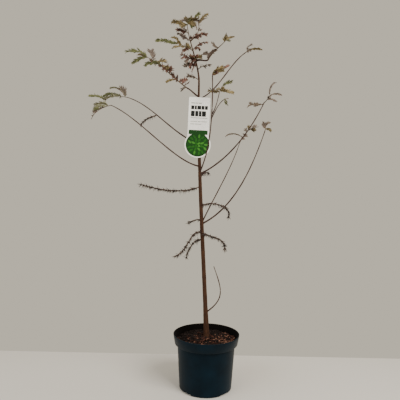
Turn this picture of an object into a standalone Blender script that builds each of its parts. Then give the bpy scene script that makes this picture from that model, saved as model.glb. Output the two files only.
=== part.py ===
"""A young bald cypress in a round nursery pot, with its care label hung on the trunk.

Metres, +Z up. The origin is the centre of the pot's flat underside, -Y is the front, and the tree is 1.1 m
tall with its pot. The trunk leans left and runs whole from a flat cut at the compost to the end of the
leader. Each bough is one tapering limb, and each mass of needles has one stem with toothed sprays on it.
"""

import math
import random
from collections import namedtuple

import bmesh
import bpy
from mathutils import Matrix, Vector
from mathutils.bvhtree import BVHTree

MM = 0.001
GAP = 0.0003
TREE = "potted_bald_cypress"

# The pot
POT_STEPS = 32
POT_WALL = 0.0016
POT_FLOOR = 0.0066
POT_BASE_RADIUS = 0.0775
POT_CHAMFER = 0.0030
POT_SHOULDER_RADIUS = 0.0856
POT_SHOULDER_HEIGHT = 0.1305
LIP_FOOT_RADIUS = 0.0935
LIP_FOOT_HEIGHT = 0.1328
RIM_RADIUS = 0.0982
POT_HEIGHT = 0.1600
RIM_ROUND = 0.0006
LIP_ROUND = 0.0010
DRAIN_COUNT = 4
DRAIN_WIDTH = 0.034
DRAIN_HEIGHT = 0.0050
DRAIN_DEPTH = 0.0160

# The compost
COMPOST_EDGE_HEIGHT = 0.1405
GROUND = 0.1510
STEM_SEAT_RADIUS = 0.0150
MOUND_SHAPE = 1.6
COMPOST_SLACK = 0.0012

# The trunk, from the compost to the end of the leader
TRUNK_FOOT_X = 0.0005
TRUNK_HEIGHT = 0.918
TRUNK_BASE_RADIUS = 0.0064
TRUNK_TIP_RADIUS = 0.0009
TRUNK_TAPER = 2.2
SWELL = 0.0020
SWELL_HEIGHT = 0.075
FLARE = 0.0014
FLARE_HEIGHT = 0.012

# The care label
LABEL_WIDTH = 0.0625
LABEL_DISC_RADIUS = 0.0385
LABEL_LENGTH = 0.1772
LABEL_THICK = 0.0008
LABEL_TOP = 0.8585
LABEL_SIDE = 0.0033
LABEL_LEAN = math.radians(1.7)
LOOP_RADIUS = 0.0056
LOOP_WIRE = 0.0007
LOOP_DROP = 0.006

# Sprays of needles
NOTCH = 0.35
SPRAY_STALK = 0.12
TOOTH_PITCH = 0.0135
MOST_TEETH = 4
BLADE_THICK = 0.0011
BLADE_THICK_SHARE = 0.014
STEM_RINGS = 6
TWIG_RADIUS = 0.0010
SHOOT_RADIUS = 0.0013
LEAST_ROLL = 38
ROLL_STEP = 17
ROLL_RANGE = 41
ROOT_SINK = 0.0010
ROOT_STEP = 0.0004
JOIN_TRIES = 4
SEED = 7

# An arc leaves its foot at one angle above level and arrives at its tip at another. Heading is in degrees
# from +X towards +Y, reach and climb are in millimetres, and pull sets how far it bows.
Arc = namedtuple("Arc", "heading reach climb leave arrive pull", defaults=(1.0,))
Limb = namedtuple("Limb", "carrier share arc foot_diameter tip_diameter")
Spray = namedtuple("Spray", "share arc width")
Tuft = namedtuple("Tuft", "share count length width heading fan rise")
Mass = namedtuple("Mass", "carrier share arc sprays tufts fill", defaults=((), (), 2))

STEM = Arc(180, 37.5, 760, 87, 90)
LEADER = Arc(180, 38, 158, 85, 81)

LIMBS = {
    "bough_left_top": Limb("trunk", 0.774, Arc(186, 35, 24, 24, 22), 4.4, 4.0),
    "bough_left_high": Limb("trunk", 0.622, Arc(152, 267, 160, 20, 17), 4.6, 2.4),
    "bough_left_low": Limb("trunk", 0.551, Arc(213, 278, 145, 4, 15, 0.8), 4.4, 2.2),
    "bough_back": Limb("trunk", 0.563, Arc(97, 120, 100, 30, 50), 3.6, 2.0),
    "bough_right_top": Limb("trunk", 0.887, Arc(-35, 43, -3, 31, 13), 5.4, 4.6),
    "bough_right_high": Limb("trunk", 0.766, Arc(22, 152, 158, 25, 37), 3.8, 3.0),
    "bough_right_mid": Limb("trunk", 0.526, Arc(-24, 191, 198, 23, 64), 4.8, 2.6),
    "bough_right_thin": Limb("trunk", 0.367, Arc(50, 188, 258, 54, 63), 4.0, 2.2),
    "bough_right_low": Limb("trunk", 0.365, Arc(-12, 180, 274, 27, 72), 5.0, 2.4),
    "bough_upright": Limb("trunk", 0.532, Arc(-60, 61, 270, 46, 94), 3.9, 2.8),
    "fork_upright_high": Limb("bough_upright", 0.623, Arc(20, 22, 64, 56, 77), 2.8, 2.0),
    "fork_upright_low": Limb("bough_upright", 0.588, Arc(-42, 42, 46, 53, 25), 2.8, 2.0),
    "twig_low": Limb("trunk", 0.077, Arc(18, 23, 137, 30, 111, 1.6), 3.8, 2.4),
}

MASSES = {
    "needles_left_high": Mass(
        "bough_left_high", 1.0, Arc(150, 96, -2, 14, -36),
        [
            Spray(0.10, Arc(170, 54, 26, 115, -65), 6),
            Spray(0.11, Arc(165, 19, 32, 92, 33), 19),
            Spray(0.32, Arc(160, 68, 0, 30, -45), 9),
            Spray(1.0, Arc(170, 61, 18, 58, -4), 13),
            Spray(0.97, Arc(-160, 4, -12, -80, -75), 8),
        ],
        fill=4,
    ),
    "needles_left_low": Mass(
        "bough_left_low", 1.0, Arc(213, 52, -42, -18, -73),
        [
            Spray(0.10, Arc(-162, 38, -1, 39, -37), 8),
            Spray(0.21, Arc(-158, 29, -7, 30, -56), 13),
            Spray(0.48, Arc(-155, 13, -3, 37, -65), 8),
            Spray(0.16, Arc(165, 12, 11, 54, 28), 8),
        ],
        fill=1,
    ),
    "needles_left_top": Mass(
        "bough_left_top", 1.0, Arc(186, 118, 84, 33, 23),
        [
            Spray(0.02, Arc(-150, 14, -8, -22, -49), 17),
            Spray(0.28, Arc(-155, 29, -14, -15, -85), 9),
            Spray(0.69, Arc(-165, 46, -6, 70, -65), 11),
            Spray(0.87, Arc(160, 7, 31, 108, 75), 19),
            Spray(0.77, Arc(15, 26, 6, 56, -34), 14),
            Spray(1.0, Arc(180, 64, 14, 61, -25), 18),
            Spray(1.0, Arc(-155, 46, -26, 0, -45), 11),
            Spray(0.98, Arc(150, 42, 13, 28, -17), 5),
        ],
        [
            Tuft(0.22, 5, 20, 11, 60, 190, 38),
            Tuft(0.61, 5, 18, 11, 50, 190, 45),
            Tuft(0.70, 4, 16, 11, 40, 150, 5),
        ],
        fill=4,
    ),
    "needles_back": Mass(
        "bough_back", 1.0, Arc(97, 40, 30, 50, 20),
        [
            Spray(0.35, Arc(75, 34, 16, 40, -20), 10),
            Spray(0.60, Arc(125, 32, 8, 30, -35), 10),
            Spray(1.0, Arc(95, 36, 6, 25, -35), 10),
        ],
        [Tuft(0.3, 3, 20, 9, 95, 160, 20)],
        fill=3,
    ),
    "needles_right_top": Mass(
        "bough_right_top", 1.0, Arc(-35, 60, 46, 58, 40),
        [
            Spray(0.62, Arc(165, 21, 17, 10, 45), 9),
            Spray(1.0, Arc(10, 25, 12, 50, 5), 4),
            Spray(1.0, Arc(-40, 15, -5, 0, -30), 6),
            Spray(0.02, Arc(-35, 31, 23, 110, -9), 9),
        ],
        [Tuft(1.0, 3, 18, 10, 70, 120, 75)],
        fill=0,
    ),
    "needles_right_high": Mass(
        "bough_right_high", 1.0, Arc(22, 10, 9, 42, 42),
        [
            Spray(0.67, Arc(-10, 12, 18, 135, -4), 12),
            Spray(1.0, Arc(-35, 49, -8, 11, -26), 5),
            Spray(0.90, Arc(70, 22, 6, 40, -10), 7),
        ],
        fill=1,
    ),
    "needles_upright": Mass(
        "bough_upright", 1.0, Arc(0, 5, 15, 100, 43),
        [
            Spray(1.0, Arc(10, 27, 10, 36, -14), 15),
            Spray(0.80, Arc(-25, 32, 1, 12, 6), 9),
            Spray(1.0, Arc(28, 51, 25, 15, 33), 7),
            Spray(0.06, Arc(-30, 16, 8, 49, 19), 10),
        ],
        fill=1,
    ),
    "needles_fork_high": Mass(
        "fork_upright_high", 1.0, Arc(20, 9, 20, 77, 54),
        [
            Spray(0.25, Arc(150, 39, 5, -12, 2), 12),
            Spray(0.36, Arc(150, 11, 5, 45, 11), 8),
            Spray(0.25, Arc(10, 41, -4, 10, -18), 11),
            Spray(1.0, Arc(20, 29, 15, 43, 4), 12),
            Spray(0.36, Arc(-50, 28, -8, -4, -28), 9),
        ],
        fill=1,
    ),
    "needles_fork_low": Mass(
        "fork_upright_low", 1.0, Arc(-42, 6, 3, 37, 20),
        [
            Spray(0.90, Arc(-10, 9, 0, 22, -35), 4),
            Spray(0.29, Arc(-40, 15, -17, -81, -46), 6),
            Spray(0.50, Arc(-60, 15, -12, 0, -40), 5),
        ],
        fill=0,
    ),
    "needles_right_mid_tip": Mass(
        "bough_right_mid", 1.0, Arc(-24, 16, 19, 31, 54),
        [
            Spray(1.0, Arc(45, 32, 40, 125, -18), 3),
            Spray(1.0, Arc(10, 36, 1, 30, -35), 3),
            Spray(0.47, Arc(-12, 27, -7, 19, -43), 5),
        ],
        fill=1,
    ),
    "needles_right_mid_side": Mass(
        "bough_right_mid", 0.983, Arc(186, 46, -12, -8, -54),
        [
            Spray(0.08, Arc(200, 27, -4, -6, -30), 8),
            Spray(0.12, Arc(165, 19, -3, -11, 1), 7),
        ],
        fill=1,
    ),
    "needles_right_mid_inner": Mass(
        "bough_right_mid", 0.66, Arc(6, 35, 18, 65, 10),
        [
            Spray(0.25, Arc(60, 12, 12, 110, -10), 8),
            Spray(0.41, Arc(-40, 17, -2, -30, 25), 9),
            Spray(0.56, Arc(30, 14, 9, 60, 0), 6),
            Spray(0.11, Arc(120, 8, 9, 30, 80), 7),
        ],
        [Tuft(0.3, 2, 14, 7, -40, 60, 5)],
        fill=0,
    ),
    "needles_right_mid_back": Mass(
        "bough_right_mid", 0.603, Arc(170, 50, 1, 38, -71),
        [Spray(0.15, Arc(170, 41, -1, 37, -47), 3)],
        fill=0,
    ),
    "needles_right_thin": Mass("bough_right_thin", 1.0, Arc(60, 48, 36, 41, 34), fill=1),
    "needles_right_low": Mass(
        "bough_right_low", 1.0, Arc(-12, 2, 13, 82, 82),
        [
            Spray(0.50, Arc(15, 14, 18, 139, -10), 10),
            Spray(0.44, Arc(140, 6, 14, 52, 81), 10),
            Spray(0.30, Arc(-40, 19, -7, 28, -63), 8),
        ],
        [Tuft(0.9, 2, 15, 7, 90, 120, 40)],
        fill=0,
    ),
    "leader_shoot_01": Mass(
        "trunk", 0.827, Arc(204, 41, 6, 34, -18), [Spray(0.35, Arc(186, 24, 1, 10, -25), 5)], fill=1
    ),
    "leader_shoot_02": Mass(
        "trunk", 0.860, Arc(-35, 41, 9, 40, -1), [Spray(0.44, Arc(-30, 18, 1, 0, -35), 5)], fill=1
    ),
    "leader_shoot_03": Mass(
        "trunk", 0.866, Arc(160, 43, 7, 80, -40), [Spray(0.40, Arc(-170, 27, -9, -17, -46), 6)], fill=3
    ),
    "leader_shoot_04": Mass(
        "trunk", 0.855, Arc(208, 56, 39, 89, -12),
        [
            Spray(0.30, Arc(-150, 12, -24, -40, -70), 9),
            Spray(0.45, Arc(-160, 10, -22, -40, -75), 9),
            Spray(0.62, Arc(-150, 14, -14, -50, -60), 9),
            Spray(0.80, Arc(-160, 12, -10, -50, -50), 7),
        ],
        [Tuft(0.45, 3, 16, 9, 160, 130, 50)],
        fill=4,
    ),
    "leader_shoot_05": Mass(
        "trunk", 0.879, Arc(262, 30, 13, 70, -35), (), [Tuft(0.5, 5, 18, 10, 270, 250, 10)], fill=1
    ),
    "leader_shoot_06": Mass(
        "trunk", 0.890, Arc(38, 50, 30, 55, -3), [Spray(0.50, Arc(30, 20, 4, 10, 0), 6)], fill=1
    ),
    "leader_shoot_07": Mass(
        "trunk", 0.918, Arc(163, 48, 32, 52, 55),
        [
            Spray(0.27, Arc(-150, 23, -12, -23, -41), 12),
            Spray(0.56, Arc(-165, 38, -11, -6, -50), 6),
            Spray(0.90, Arc(180, 74, 4, -1, -30), 9),
            Spray(1.0, Arc(140, 29, 21, 88, 17), 8),
        ],
        [Tuft(0.25, 3, 14, 10, 150, 90, 45)],
        fill=2,
    ),
    "leader_shoot_08": Mass(
        "trunk", 0.923, Arc(40, 58, 36, 52, 4), (), [Tuft(0.22, 2, 16, 8, -30, 60, -35)], fill=2
    ),
    "leader_shoot_09": Mass(
        "trunk", 0.949, Arc(-42, 61, 9, 38, -7), (), [Tuft(0.3, 4, 12, 9, 0, 260, 0)], fill=2
    ),
    "leader_shoot_10": Mass("trunk", 0.953, Arc(128, 56, 35, 25, 19), fill=4),
    "leader_shoot_11": Mass(
        "trunk", 0.954, Arc(30, 25, 57, 17, 122),
        [
            Spray(0.96, Arc(30, 32, 23, 44, 11), 5),
            Spray(0.93, Arc(10, 31, 31, 57, 1), 8),
        ],
        fill=2,
    ),
    "leader_shoot_12": Mass("trunk", 0.975, Arc(200, 34, 5, 35, -14), fill=4),
    "leader_top": Mass(
        "trunk", 1.0, Arc(12, 22, 23, 88, 61),
        [
            Spray(0.10, Arc(-165, 47, -1, -7, -50), 13),
            Spray(0.31, Arc(160, 31, 7, 85, -46), 10),
            Spray(0.22, Arc(-145, 11, 17, 75, 38), 9),
            Spray(1.0, Arc(10, 15, 16, 81, 30), 11),
            Spray(0.94, Arc(-40, 18, 1, -11, 29), 11),
            Spray(0.81, Arc(10, 17, -1, 13, -31), 10),
            Spray(0.53, Arc(20, 19, -20, 16, -112), 6),
            Spray(0.15, Arc(-25, 24, -3, 30, -30), 13),
            Spray(0.35, Arc(-80, 20, 5, 30, -30), 14),
            Spray(0.05, Arc(-150, 22, -9, 20, -40), 13),
            Spray(0.60, Arc(-60, 19, 4, 40, -25), 13),
        ],
        [
            Tuft(0.30, 3, 16, 11, -90, 250, -30),
            Tuft(0.60, 3, 10, 11, 130, 200, 50),
        ],
        fill=2,
    ),
}

# Wilted shoots, whose needles have dried to short hairs
SHOOTS = {
    "shoot_left_high": Mass("bough_left_high", 0.57, Arc(198, 50, -33, -15, -61), fill=9),
    "shoot_left_long": Mass("trunk", 0.486, Arc(176, 182, 3, -25, 14), fill=15),
    "shoot_left_low": Mass("trunk", 0.337, Arc(228, 111, -60, 18, -8, 1.3), fill=12),
    "shoot_left_lowest": Mass("trunk", 0.312, Arc(160, 50, -57, 25, -84), fill=7),
    "shoot_left_small": Mass("trunk", 0.376, Arc(150, 47, -10, 21, -28), fill=6),
    "shoot_right_high": Mass("trunk", 0.517, Arc(35, 31, 11, 46, -43), fill=6),
    "shoot_right_mid": Mass("trunk", 0.421, Arc(-18, 83, -29, 37, -117, 1.25), fill=10),
    "shoot_right_low": Mass("trunk", 0.336, Arc(-52, 103, -38, -17, -101), fill=10),
}

BARK = (0.115, 0.048, 0.024)
GREEN_TWIG = (0.13, 0.10, 0.045)
OLIVE = (0.19, 0.17, 0.05)
WILTED = (0.075, 0.042, 0.032)


def clear_scene():
    """Removes everything that the file starts with."""
    for item in list(bpy.data.objects):
        bpy.data.objects.remove(item, do_unlink=True)


def new_collection(name):
    """A collection in the scene."""
    collection = bpy.data.collections.new(name)
    bpy.context.scene.collection.children.link(collection)
    return collection


def material(name, colour, roughness):
    """A plain Principled material."""
    made = bpy.data.materials.new(name)
    made.use_nodes = True
    shader = made.node_tree.nodes["Principled BSDF"]
    shader.inputs["Base Color"].default_value = (*colour, 1.0)
    shader.inputs["Roughness"].default_value = roughness
    shader.inputs["Metallic"].default_value = 0.0
    return made


def evaluated_mesh(item):
    """The object's mesh with its modifiers applied."""
    bpy.context.view_layer.update()
    graph = bpy.context.evaluated_depsgraph_get()
    return bpy.data.meshes.new_from_object(item.evaluated_get(graph))


def welded_mesh(item):
    """A curve's or a turned profile's surface as a mesh, its loose points welded."""
    mesh = evaluated_mesh(item)
    shape = bmesh.new()
    shape.from_mesh(mesh)
    bmesh.ops.remove_doubles(shape, verts=shape.verts, dist=1e-6)
    bmesh.ops.recalc_face_normals(shape, faces=shape.faces)
    shape.to_mesh(mesh)
    shape.free()
    return mesh


def surface_tree(item):
    """A search tree over the object's surface, in world space."""
    points = [item.matrix_world @ vertex.co for vertex in item.data.vertices]
    faces = [tuple(face.vertices) for face in item.data.polygons]
    return BVHTree.FromPolygons(points, faces)


def place(item, foot, finish, parent):
    """Moves the object's own origin to its foot, then colours and parents it."""
    item.data.transform(Matrix.Translation(-foot))
    item.location = foot
    item.data.materials.clear()
    item.data.materials.append(finish)
    item.parent = parent
    bpy.context.view_layer.update()


def arc_points(start, arc, count):
    """Points along an arc from its start, evenly spaced in its own measure."""
    heading, leave, arrive = (math.radians(a) for a in (arc.heading, arc.leave, arc.arrive))
    reach, climb = arc.reach * MM, arc.climb * MM
    strength = arc.pull * math.hypot(reach, climb)
    points = []
    for i in range(count):
        t = i / (count - 1)
        first = strength * (t**3 - 2 * t**2 + t)
        last = strength * (t**3 - t**2)
        whole = 3 * t**2 - 2 * t**3
        out = whole * reach + first * math.cos(leave) + last * math.cos(arrive)
        up = whole * climb + first * math.sin(leave) + last * math.sin(arrive)
        points.append(start + Vector((out * math.cos(heading), out * math.sin(heading), up)))
    return points


def arc_length(arc):
    """The length of an arc."""
    points = arc_points(Vector(), arc, 12)
    return sum((b - a).length for a, b in zip(points, points[1:]))


def along(points, share):
    """The point at a share of the way along a list of points."""
    place_on_it = min(max(share, 0.0), 1.0) * (len(points) - 1)
    i = min(int(place_on_it), len(points) - 2)
    return points[i].lerp(points[i + 1], place_on_it - i)


def directions(points):
    """The direction of travel at each point."""
    ends = [points[0], *points, points[-1]]
    return [(ends[i + 2] - ends[i]).normalized() for i in range(len(points))]


def tube(name, points, radii, sides):
    """A tapering round limb with flat ends, from a curve turned into a mesh."""
    curve = bpy.data.curves.new(name, "CURVE")
    curve.dimensions = "3D"
    curve.fill_mode = "FULL"
    curve.bevel_depth = 1.0
    curve.bevel_resolution = (sides - 4) // 2
    curve.use_fill_caps = True
    spline = curve.splines.new("POLY")
    spline.points.add(len(points) - 1)
    for point, position, radius in zip(spline.points, points, radii):
        point.co = (*position, 1.0)
        point.radius = radius
    guide = bpy.data.objects.new(name + "_curve", curve)
    bpy.context.scene.collection.objects.link(guide)
    mesh = welded_mesh(guide)
    bpy.data.objects.remove(guide, do_unlink=True)
    limb = bpy.data.objects.new(name, mesh)
    shade_round(mesh)
    return limb


def shade_round(mesh):
    """Smooth shading that keeps edges over 40 degrees sharp."""
    mesh.shade_smooth()
    mesh.set_sharp_from_angle(angle=math.radians(40))


def turned(name, profile, steps):
    """A solid turned about Z, from a profile of radius and height that runs down its outer side."""
    mesh = bpy.data.meshes.new(name)
    points = [(radius, 0.0, height) for radius, height in profile]
    mesh.from_pydata(points, [(i, i + 1) for i in range(len(points) - 1)], [])
    item = bpy.data.objects.new(name, mesh)
    bpy.context.scene.collection.objects.link(item)
    screw = item.modifiers.new("Turn", "SCREW")
    screw.axis = "Z"
    screw.steps = steps
    screw.render_steps = steps
    screw.use_merge_vertices = True
    screw.merge_threshold = 0.00005
    item.data = welded_mesh(item)
    item.modifiers.clear()
    shade_round(item.data)
    bpy.context.scene.collection.objects.unlink(item)
    return item


def pot_profile():
    """The pot's outer side from the rim to the underside, then its inner side back up."""
    wall = POT_WALL
    inner_lip = LIP_FOOT_RADIUS - wall
    return [
        (RIM_RADIUS - wall, POT_HEIGHT),
        (RIM_RADIUS - RIM_ROUND / 2, POT_HEIGHT),
        (RIM_RADIUS, POT_HEIGHT - RIM_ROUND),
        (RIM_RADIUS - RIM_ROUND / 2, POT_HEIGHT - 5 * RIM_ROUND),
        (LIP_FOOT_RADIUS, LIP_FOOT_HEIGHT),
        (LIP_FOOT_RADIUS - LIP_ROUND, LIP_FOOT_HEIGHT - LIP_ROUND),
        (POT_SHOULDER_RADIUS, POT_SHOULDER_HEIGHT),
        (POT_BASE_RADIUS, POT_CHAMFER),
        (POT_BASE_RADIUS - POT_CHAMFER, 0.0),
        (0.0, 0.0),
        (0.0, POT_FLOOR),
        (POT_BASE_RADIUS - wall, POT_FLOOR + wall),
        (POT_SHOULDER_RADIUS - wall, POT_SHOULDER_HEIGHT + wall),
        (inner_lip, LIP_FOOT_HEIGHT + wall),
        (RIM_RADIUS - wall, POT_HEIGHT),
    ]


def make_pot():
    """The nursery pot, which stands on four feet with a drainage notch between each two."""
    pot = turned("pot", pot_profile(), POT_STEPS)
    bpy.context.scene.collection.objects.link(pot)
    cutters = new_collection("cutters")
    for i in range(DRAIN_COUNT):
        angle = math.tau * (i + 0.5) / DRAIN_COUNT
        bpy.ops.mesh.primitive_cube_add(size=1.0)
        cutter = bpy.context.object
        cutter.name = f"drain_cutter_{i + 1}"
        cutter.scale = (2 * DRAIN_DEPTH, DRAIN_WIDTH, 2 * DRAIN_HEIGHT)
        cutter.rotation_euler = (0.0, 0.0, angle)
        cutter.location = (POT_BASE_RADIUS * math.cos(angle), POT_BASE_RADIUS * math.sin(angle), 0.0)
        cutter.hide_render = True
        cutter.display_type = "WIRE"
        for owner in list(cutter.users_collection):
            owner.objects.unlink(cutter)
        cutters.objects.link(cutter)
    cut = pot.modifiers.new("Drain holes", "BOOLEAN")
    cut.operation = "DIFFERENCE"
    cut.operand_type = "COLLECTION"
    cut.collection = cutters
    pot.data = evaluated_mesh(pot)
    pot.modifiers.clear()
    shade_round(pot.data)
    for cutter in list(cutters.objects):
        bpy.data.objects.remove(cutter, do_unlink=True)
    bpy.data.collections.remove(cutters)
    bpy.context.scene.collection.objects.unlink(pot)
    return pot


def make_compost():
    """The compost that fills the pot, mounded to a flat seat under the trunk."""
    inset = POT_WALL + GAP + COMPOST_SLACK
    floor = POT_FLOOR + POT_WALL + GAP
    lip_slope = (RIM_RADIUS - LIP_FOOT_RADIUS) / (POT_HEIGHT - LIP_FOOT_HEIGHT)
    edge = LIP_FOOT_RADIUS - inset + lip_slope * (COMPOST_EDGE_HEIGHT - LIP_FOOT_HEIGHT)
    profile = [(0.0, GROUND), (STEM_SEAT_RADIUS, GROUND)]
    rings = 3
    for i in range(1, rings + 1):
        share = i / rings
        radius = STEM_SEAT_RADIUS + share * (edge - STEM_SEAT_RADIUS)
        height = GROUND - (GROUND - COMPOST_EDGE_HEIGHT) * share**MOUND_SHAPE
        profile.append((radius, height))
    profile += [
        (LIP_FOOT_RADIUS - inset, LIP_FOOT_HEIGHT + POT_WALL + COMPOST_SLACK),
        (POT_SHOULDER_RADIUS - inset, POT_SHOULDER_HEIGHT + POT_WALL),
        (POT_BASE_RADIUS - inset, floor + POT_CHAMFER),
        (POT_BASE_RADIUS - inset - POT_CHAMFER, floor),
        (0.0, floor),
    ]
    return turned("compost", profile, POT_STEPS)


def trunk_points():
    """The trunk's centre line: a short upright foot, the leaning stem, then the leader."""
    foot = Vector((TRUNK_FOOT_X, 0.0, GROUND + GAP))
    stem = arc_points(foot, STEM, 16)
    leader = arc_points(stem[-1], LEADER, 7)
    return [foot, foot + Vector((0.0, 0.0, FLARE_HEIGHT / 3)), *stem[1:], *leader[1:]]


def trunk_radius(height):
    """The trunk's radius at a height above the compost, with the swollen butt and the flare at its foot."""
    share = min(height / TRUNK_HEIGHT, 1.0)
    slim = TRUNK_TIP_RADIUS + (TRUNK_BASE_RADIUS - TRUNK_TIP_RADIUS) * (1 - share**TRUNK_TAPER)
    butt = SWELL * math.exp(-((height / SWELL_HEIGHT) ** 2)) + FLARE * math.exp(-height / FLARE_HEIGHT)
    return slim + butt


def make_trunk():
    """The trunk and its centre line, listed evenly by height."""
    points = trunk_points()
    foot = points[0]
    flare = [foot + Vector((0.0, 0.0, FLARE_HEIGHT * step)) for step in (0.8, 1.6, 2.6)]
    points = [*points[:2], *flare, *points[2:]]
    radii = [trunk_radius(p.z - foot.z) for p in points]
    trunk = tube("trunk", points, radii, 8)
    line = []
    for i in range(101):
        height = foot.z + (points[-1].z - foot.z) * i / 100
        upper = next(k for k in range(1, len(points)) if points[k].z >= height - 1e-9)
        low, high = points[upper - 1], points[upper]
        line.append(low.lerp(high, (height - low.z) / (high.z - low.z)))
    return trunk, line


def clear_start(points, radius, tree):
    """Cuts a limb back from its foot until its end stands clear of the surface that carries it."""
    fine = [along(points, i / 600) for i in range(601)]
    for i in range(600):
        travel = (fine[i + 1] - fine[i]).normalized()
        across = travel.orthogonal().normalized()
        rim = [fine[i] + radius * (Matrix.Rotation(a * math.pi / 4, 3, travel) @ across) for a in range(8)]
        if all(stands_clear(p, tree) for p in rim):
            cut, steps = i / 600, len(points) - 1
            return [along(points, cut + (1 - cut) * k / steps) for k in range(steps + 1)]
    raise ValueError("a limb never leaves what carries it")


def stands_clear(point, tree):
    """Whether a point is outside a surface, by the gap or more."""
    nearest, normal, _, distance = tree.find_nearest(point)
    return (point - nearest).dot(normal) > 0 and distance >= GAP * 1.15


def ring(centre, wide, deep):
    """Three corners of a blade's section, which is flat on one side with a midrib on the other."""
    return [centre + wide - deep / 3, centre + deep * 2 / 3, centre - wide - deep / 3]


def twig_rings(points, radii):
    """Three-sided sections along a twig."""
    rings = []
    for point, travel, radius in zip(points, directions(points), radii):
        side = travel.cross(Vector((0.0, 0.0, 1.0)))
        side = side.normalized() if side.length > 0.05 else Vector((1.0, 0.0, 0.0))
        turns = [Matrix.Rotation(k * math.tau / 3, 3, travel) for k in range(3)]
        rings.append([point + radius * (turn @ side) for turn in turns])
    return rings


def spray_rings(start, spray, roll):
    """Sections of a toothed blade along an arc: wide at each tooth, narrow between, ending in a point."""
    length = arc_length(spray.arc)
    teeth = min(max(round(length / TOOTH_PITCH), 1), MOST_TEETH)
    fine = arc_points(start, spray.arc, 41)
    stations = [0.0, SPRAY_STALK]
    widths = [TWIG_RADIUS * 0.9, TWIG_RADIUS]
    pitch = (1.0 - SPRAY_STALK) / teeth
    for k in range(teeth):
        tip = SPRAY_STALK + (k + 0.7) * pitch
        swell = math.sin(math.pi * (0.22 + 0.66 * tip)) ** 0.8
        half = 0.5 * spray.width * MM * swell
        stations += [tip, SPRAY_STALK + (k + 1) * pitch]
        widths += [half, max(half * NOTCH, 0.0007)]
    thick = max(BLADE_THICK, BLADE_THICK_SHARE * length)
    points = [along(fine, s) for s in stations]
    rings = []
    for point, travel, half in zip(points[:-1], directions(points)[:-1], widths[:-1]):
        side = travel.cross(Vector((0.0, 0.0, 1.0)))
        side = side.normalized() if side.length > 0.05 else Vector((0.0, 1.0, 0.0))
        wide = Matrix.Rotation(roll, 3, travel) @ side
        rings.append(ring(point, wide * half, travel.cross(wide) * thick))
    rings.append([points[-1]])
    return rings


def spray_roll(order):
    """How far a spray is turned about its own line, to either side in turn."""
    turn = math.radians(LEAST_ROLL + ROLL_STEP * order % ROLL_RANGE)
    return -turn if order % 2 else turn


def loft(rings):
    """A closed solid through a list of sections. The last may be a single point."""
    shape = bmesh.new()
    made = [[shape.verts.new(p) for p in section] for section in rings]
    count = len(made[0])
    shape.faces.new(list(reversed(made[0])))
    for lower, upper in zip(made, made[1:]):
        for k in range(count):
            following = (k + 1) % count
            if len(upper) == 1:
                shape.faces.new((lower[k], lower[following], upper[0]))
            else:
                shape.faces.new((lower[k], lower[following], upper[following], upper[k]))
    if len(made[-1]) > 1:
        shape.faces.new(made[-1])
    bmesh.ops.triangulate(shape, faces=shape.faces)
    bmesh.ops.recalc_face_normals(shape, faces=shape.faces)
    mesh = bpy.data.meshes.new("loft")
    shape.to_mesh(mesh)
    shape.free()
    return mesh


def grown(rings, margin):
    """A search tree over a loft that is made fatter by a margin, to test for room."""
    fatter = []
    for section in rings:
        centre = sum(section, Vector()) / len(section)
        fatter.append([p + (p - centre).normalized() * margin if len(section) > 1 else p for p in section])
    mesh = loft(fatter)
    points = [v.co.copy() for v in mesh.vertices]
    faces = [tuple(f.vertices) for f in mesh.polygons]
    bpy.data.meshes.remove(mesh)
    return BVHTree.FromPolygons(points, faces)


def has_room(rings, obstacles):
    """Whether a loft keeps clear of everything made before it."""
    tree = grown(rings, 2 * GAP)
    return not any(tree.overlap(other) for other in obstacles)


def tuft_sprays(tuft, dice):
    """A fan of short sprays about one place on the stem."""
    sprays = []
    for k in range(tuft.count):
        spot = k / max(tuft.count - 1, 1) - 0.5
        heading = tuft.heading + tuft.fan * spot + dice.uniform(-8, 8)
        rise = math.radians(tuft.rise + dice.uniform(-12, 12))
        length = tuft.length * dice.uniform(0.85, 1.1)
        arc = Arc(
            heading,
            length * math.cos(rise),
            length * math.sin(rise),
            math.degrees(rise) + 18,
            math.degrees(rise) - 22,
        )
        share = min(max(tuft.share + 0.06 * (k - tuft.count / 2), 0.02), 1.0)
        sprays.append(Spray(share, arc, tuft.width))
    return sprays


def side_sprays(arc, count, dice, length=15.0):
    """Small sprays that branch from a stem to either side in turn, shorter towards its tip."""
    sprays = []
    for k in range(count):
        share = 0.2 + 0.75 * (k + 0.5) / count
        side = 1 if k % 2 else -1
        heading = arc.heading + side * dice.uniform(40, 75)
        long = length * (1.1 - 0.45 * share) * dice.uniform(0.85, 1.15)
        rise = math.radians(dice.uniform(-15, 25))
        shape = Arc(heading, long * math.cos(rise), long * math.sin(rise), math.degrees(rise) + 15, -25)
        sprays.append(Spray(share, shape, dice.uniform(6, 8)))
    return sprays


def hairs(points, count, dice):
    """Short dried needles round a wilted shoot, most of them hanging."""
    rings = []
    for k in range(count):
        root = along(points, (k + 0.7) / (count + 0.4))
        turn = k * 2.4 + dice.uniform(-0.4, 0.4)
        out = Vector((math.cos(turn), math.sin(turn), dice.uniform(-1.1, 0.5))).normalized()
        long = dice.uniform(5, 9) * MM
        across = out.orthogonal().normalized() * SHOOT_RADIUS * 0.6
        section = [root + Matrix.Rotation(j * math.tau / 3, 3, out) @ across for j in range(3)]
        rings.append([section, [root + out * long]])
    return rings


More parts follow.
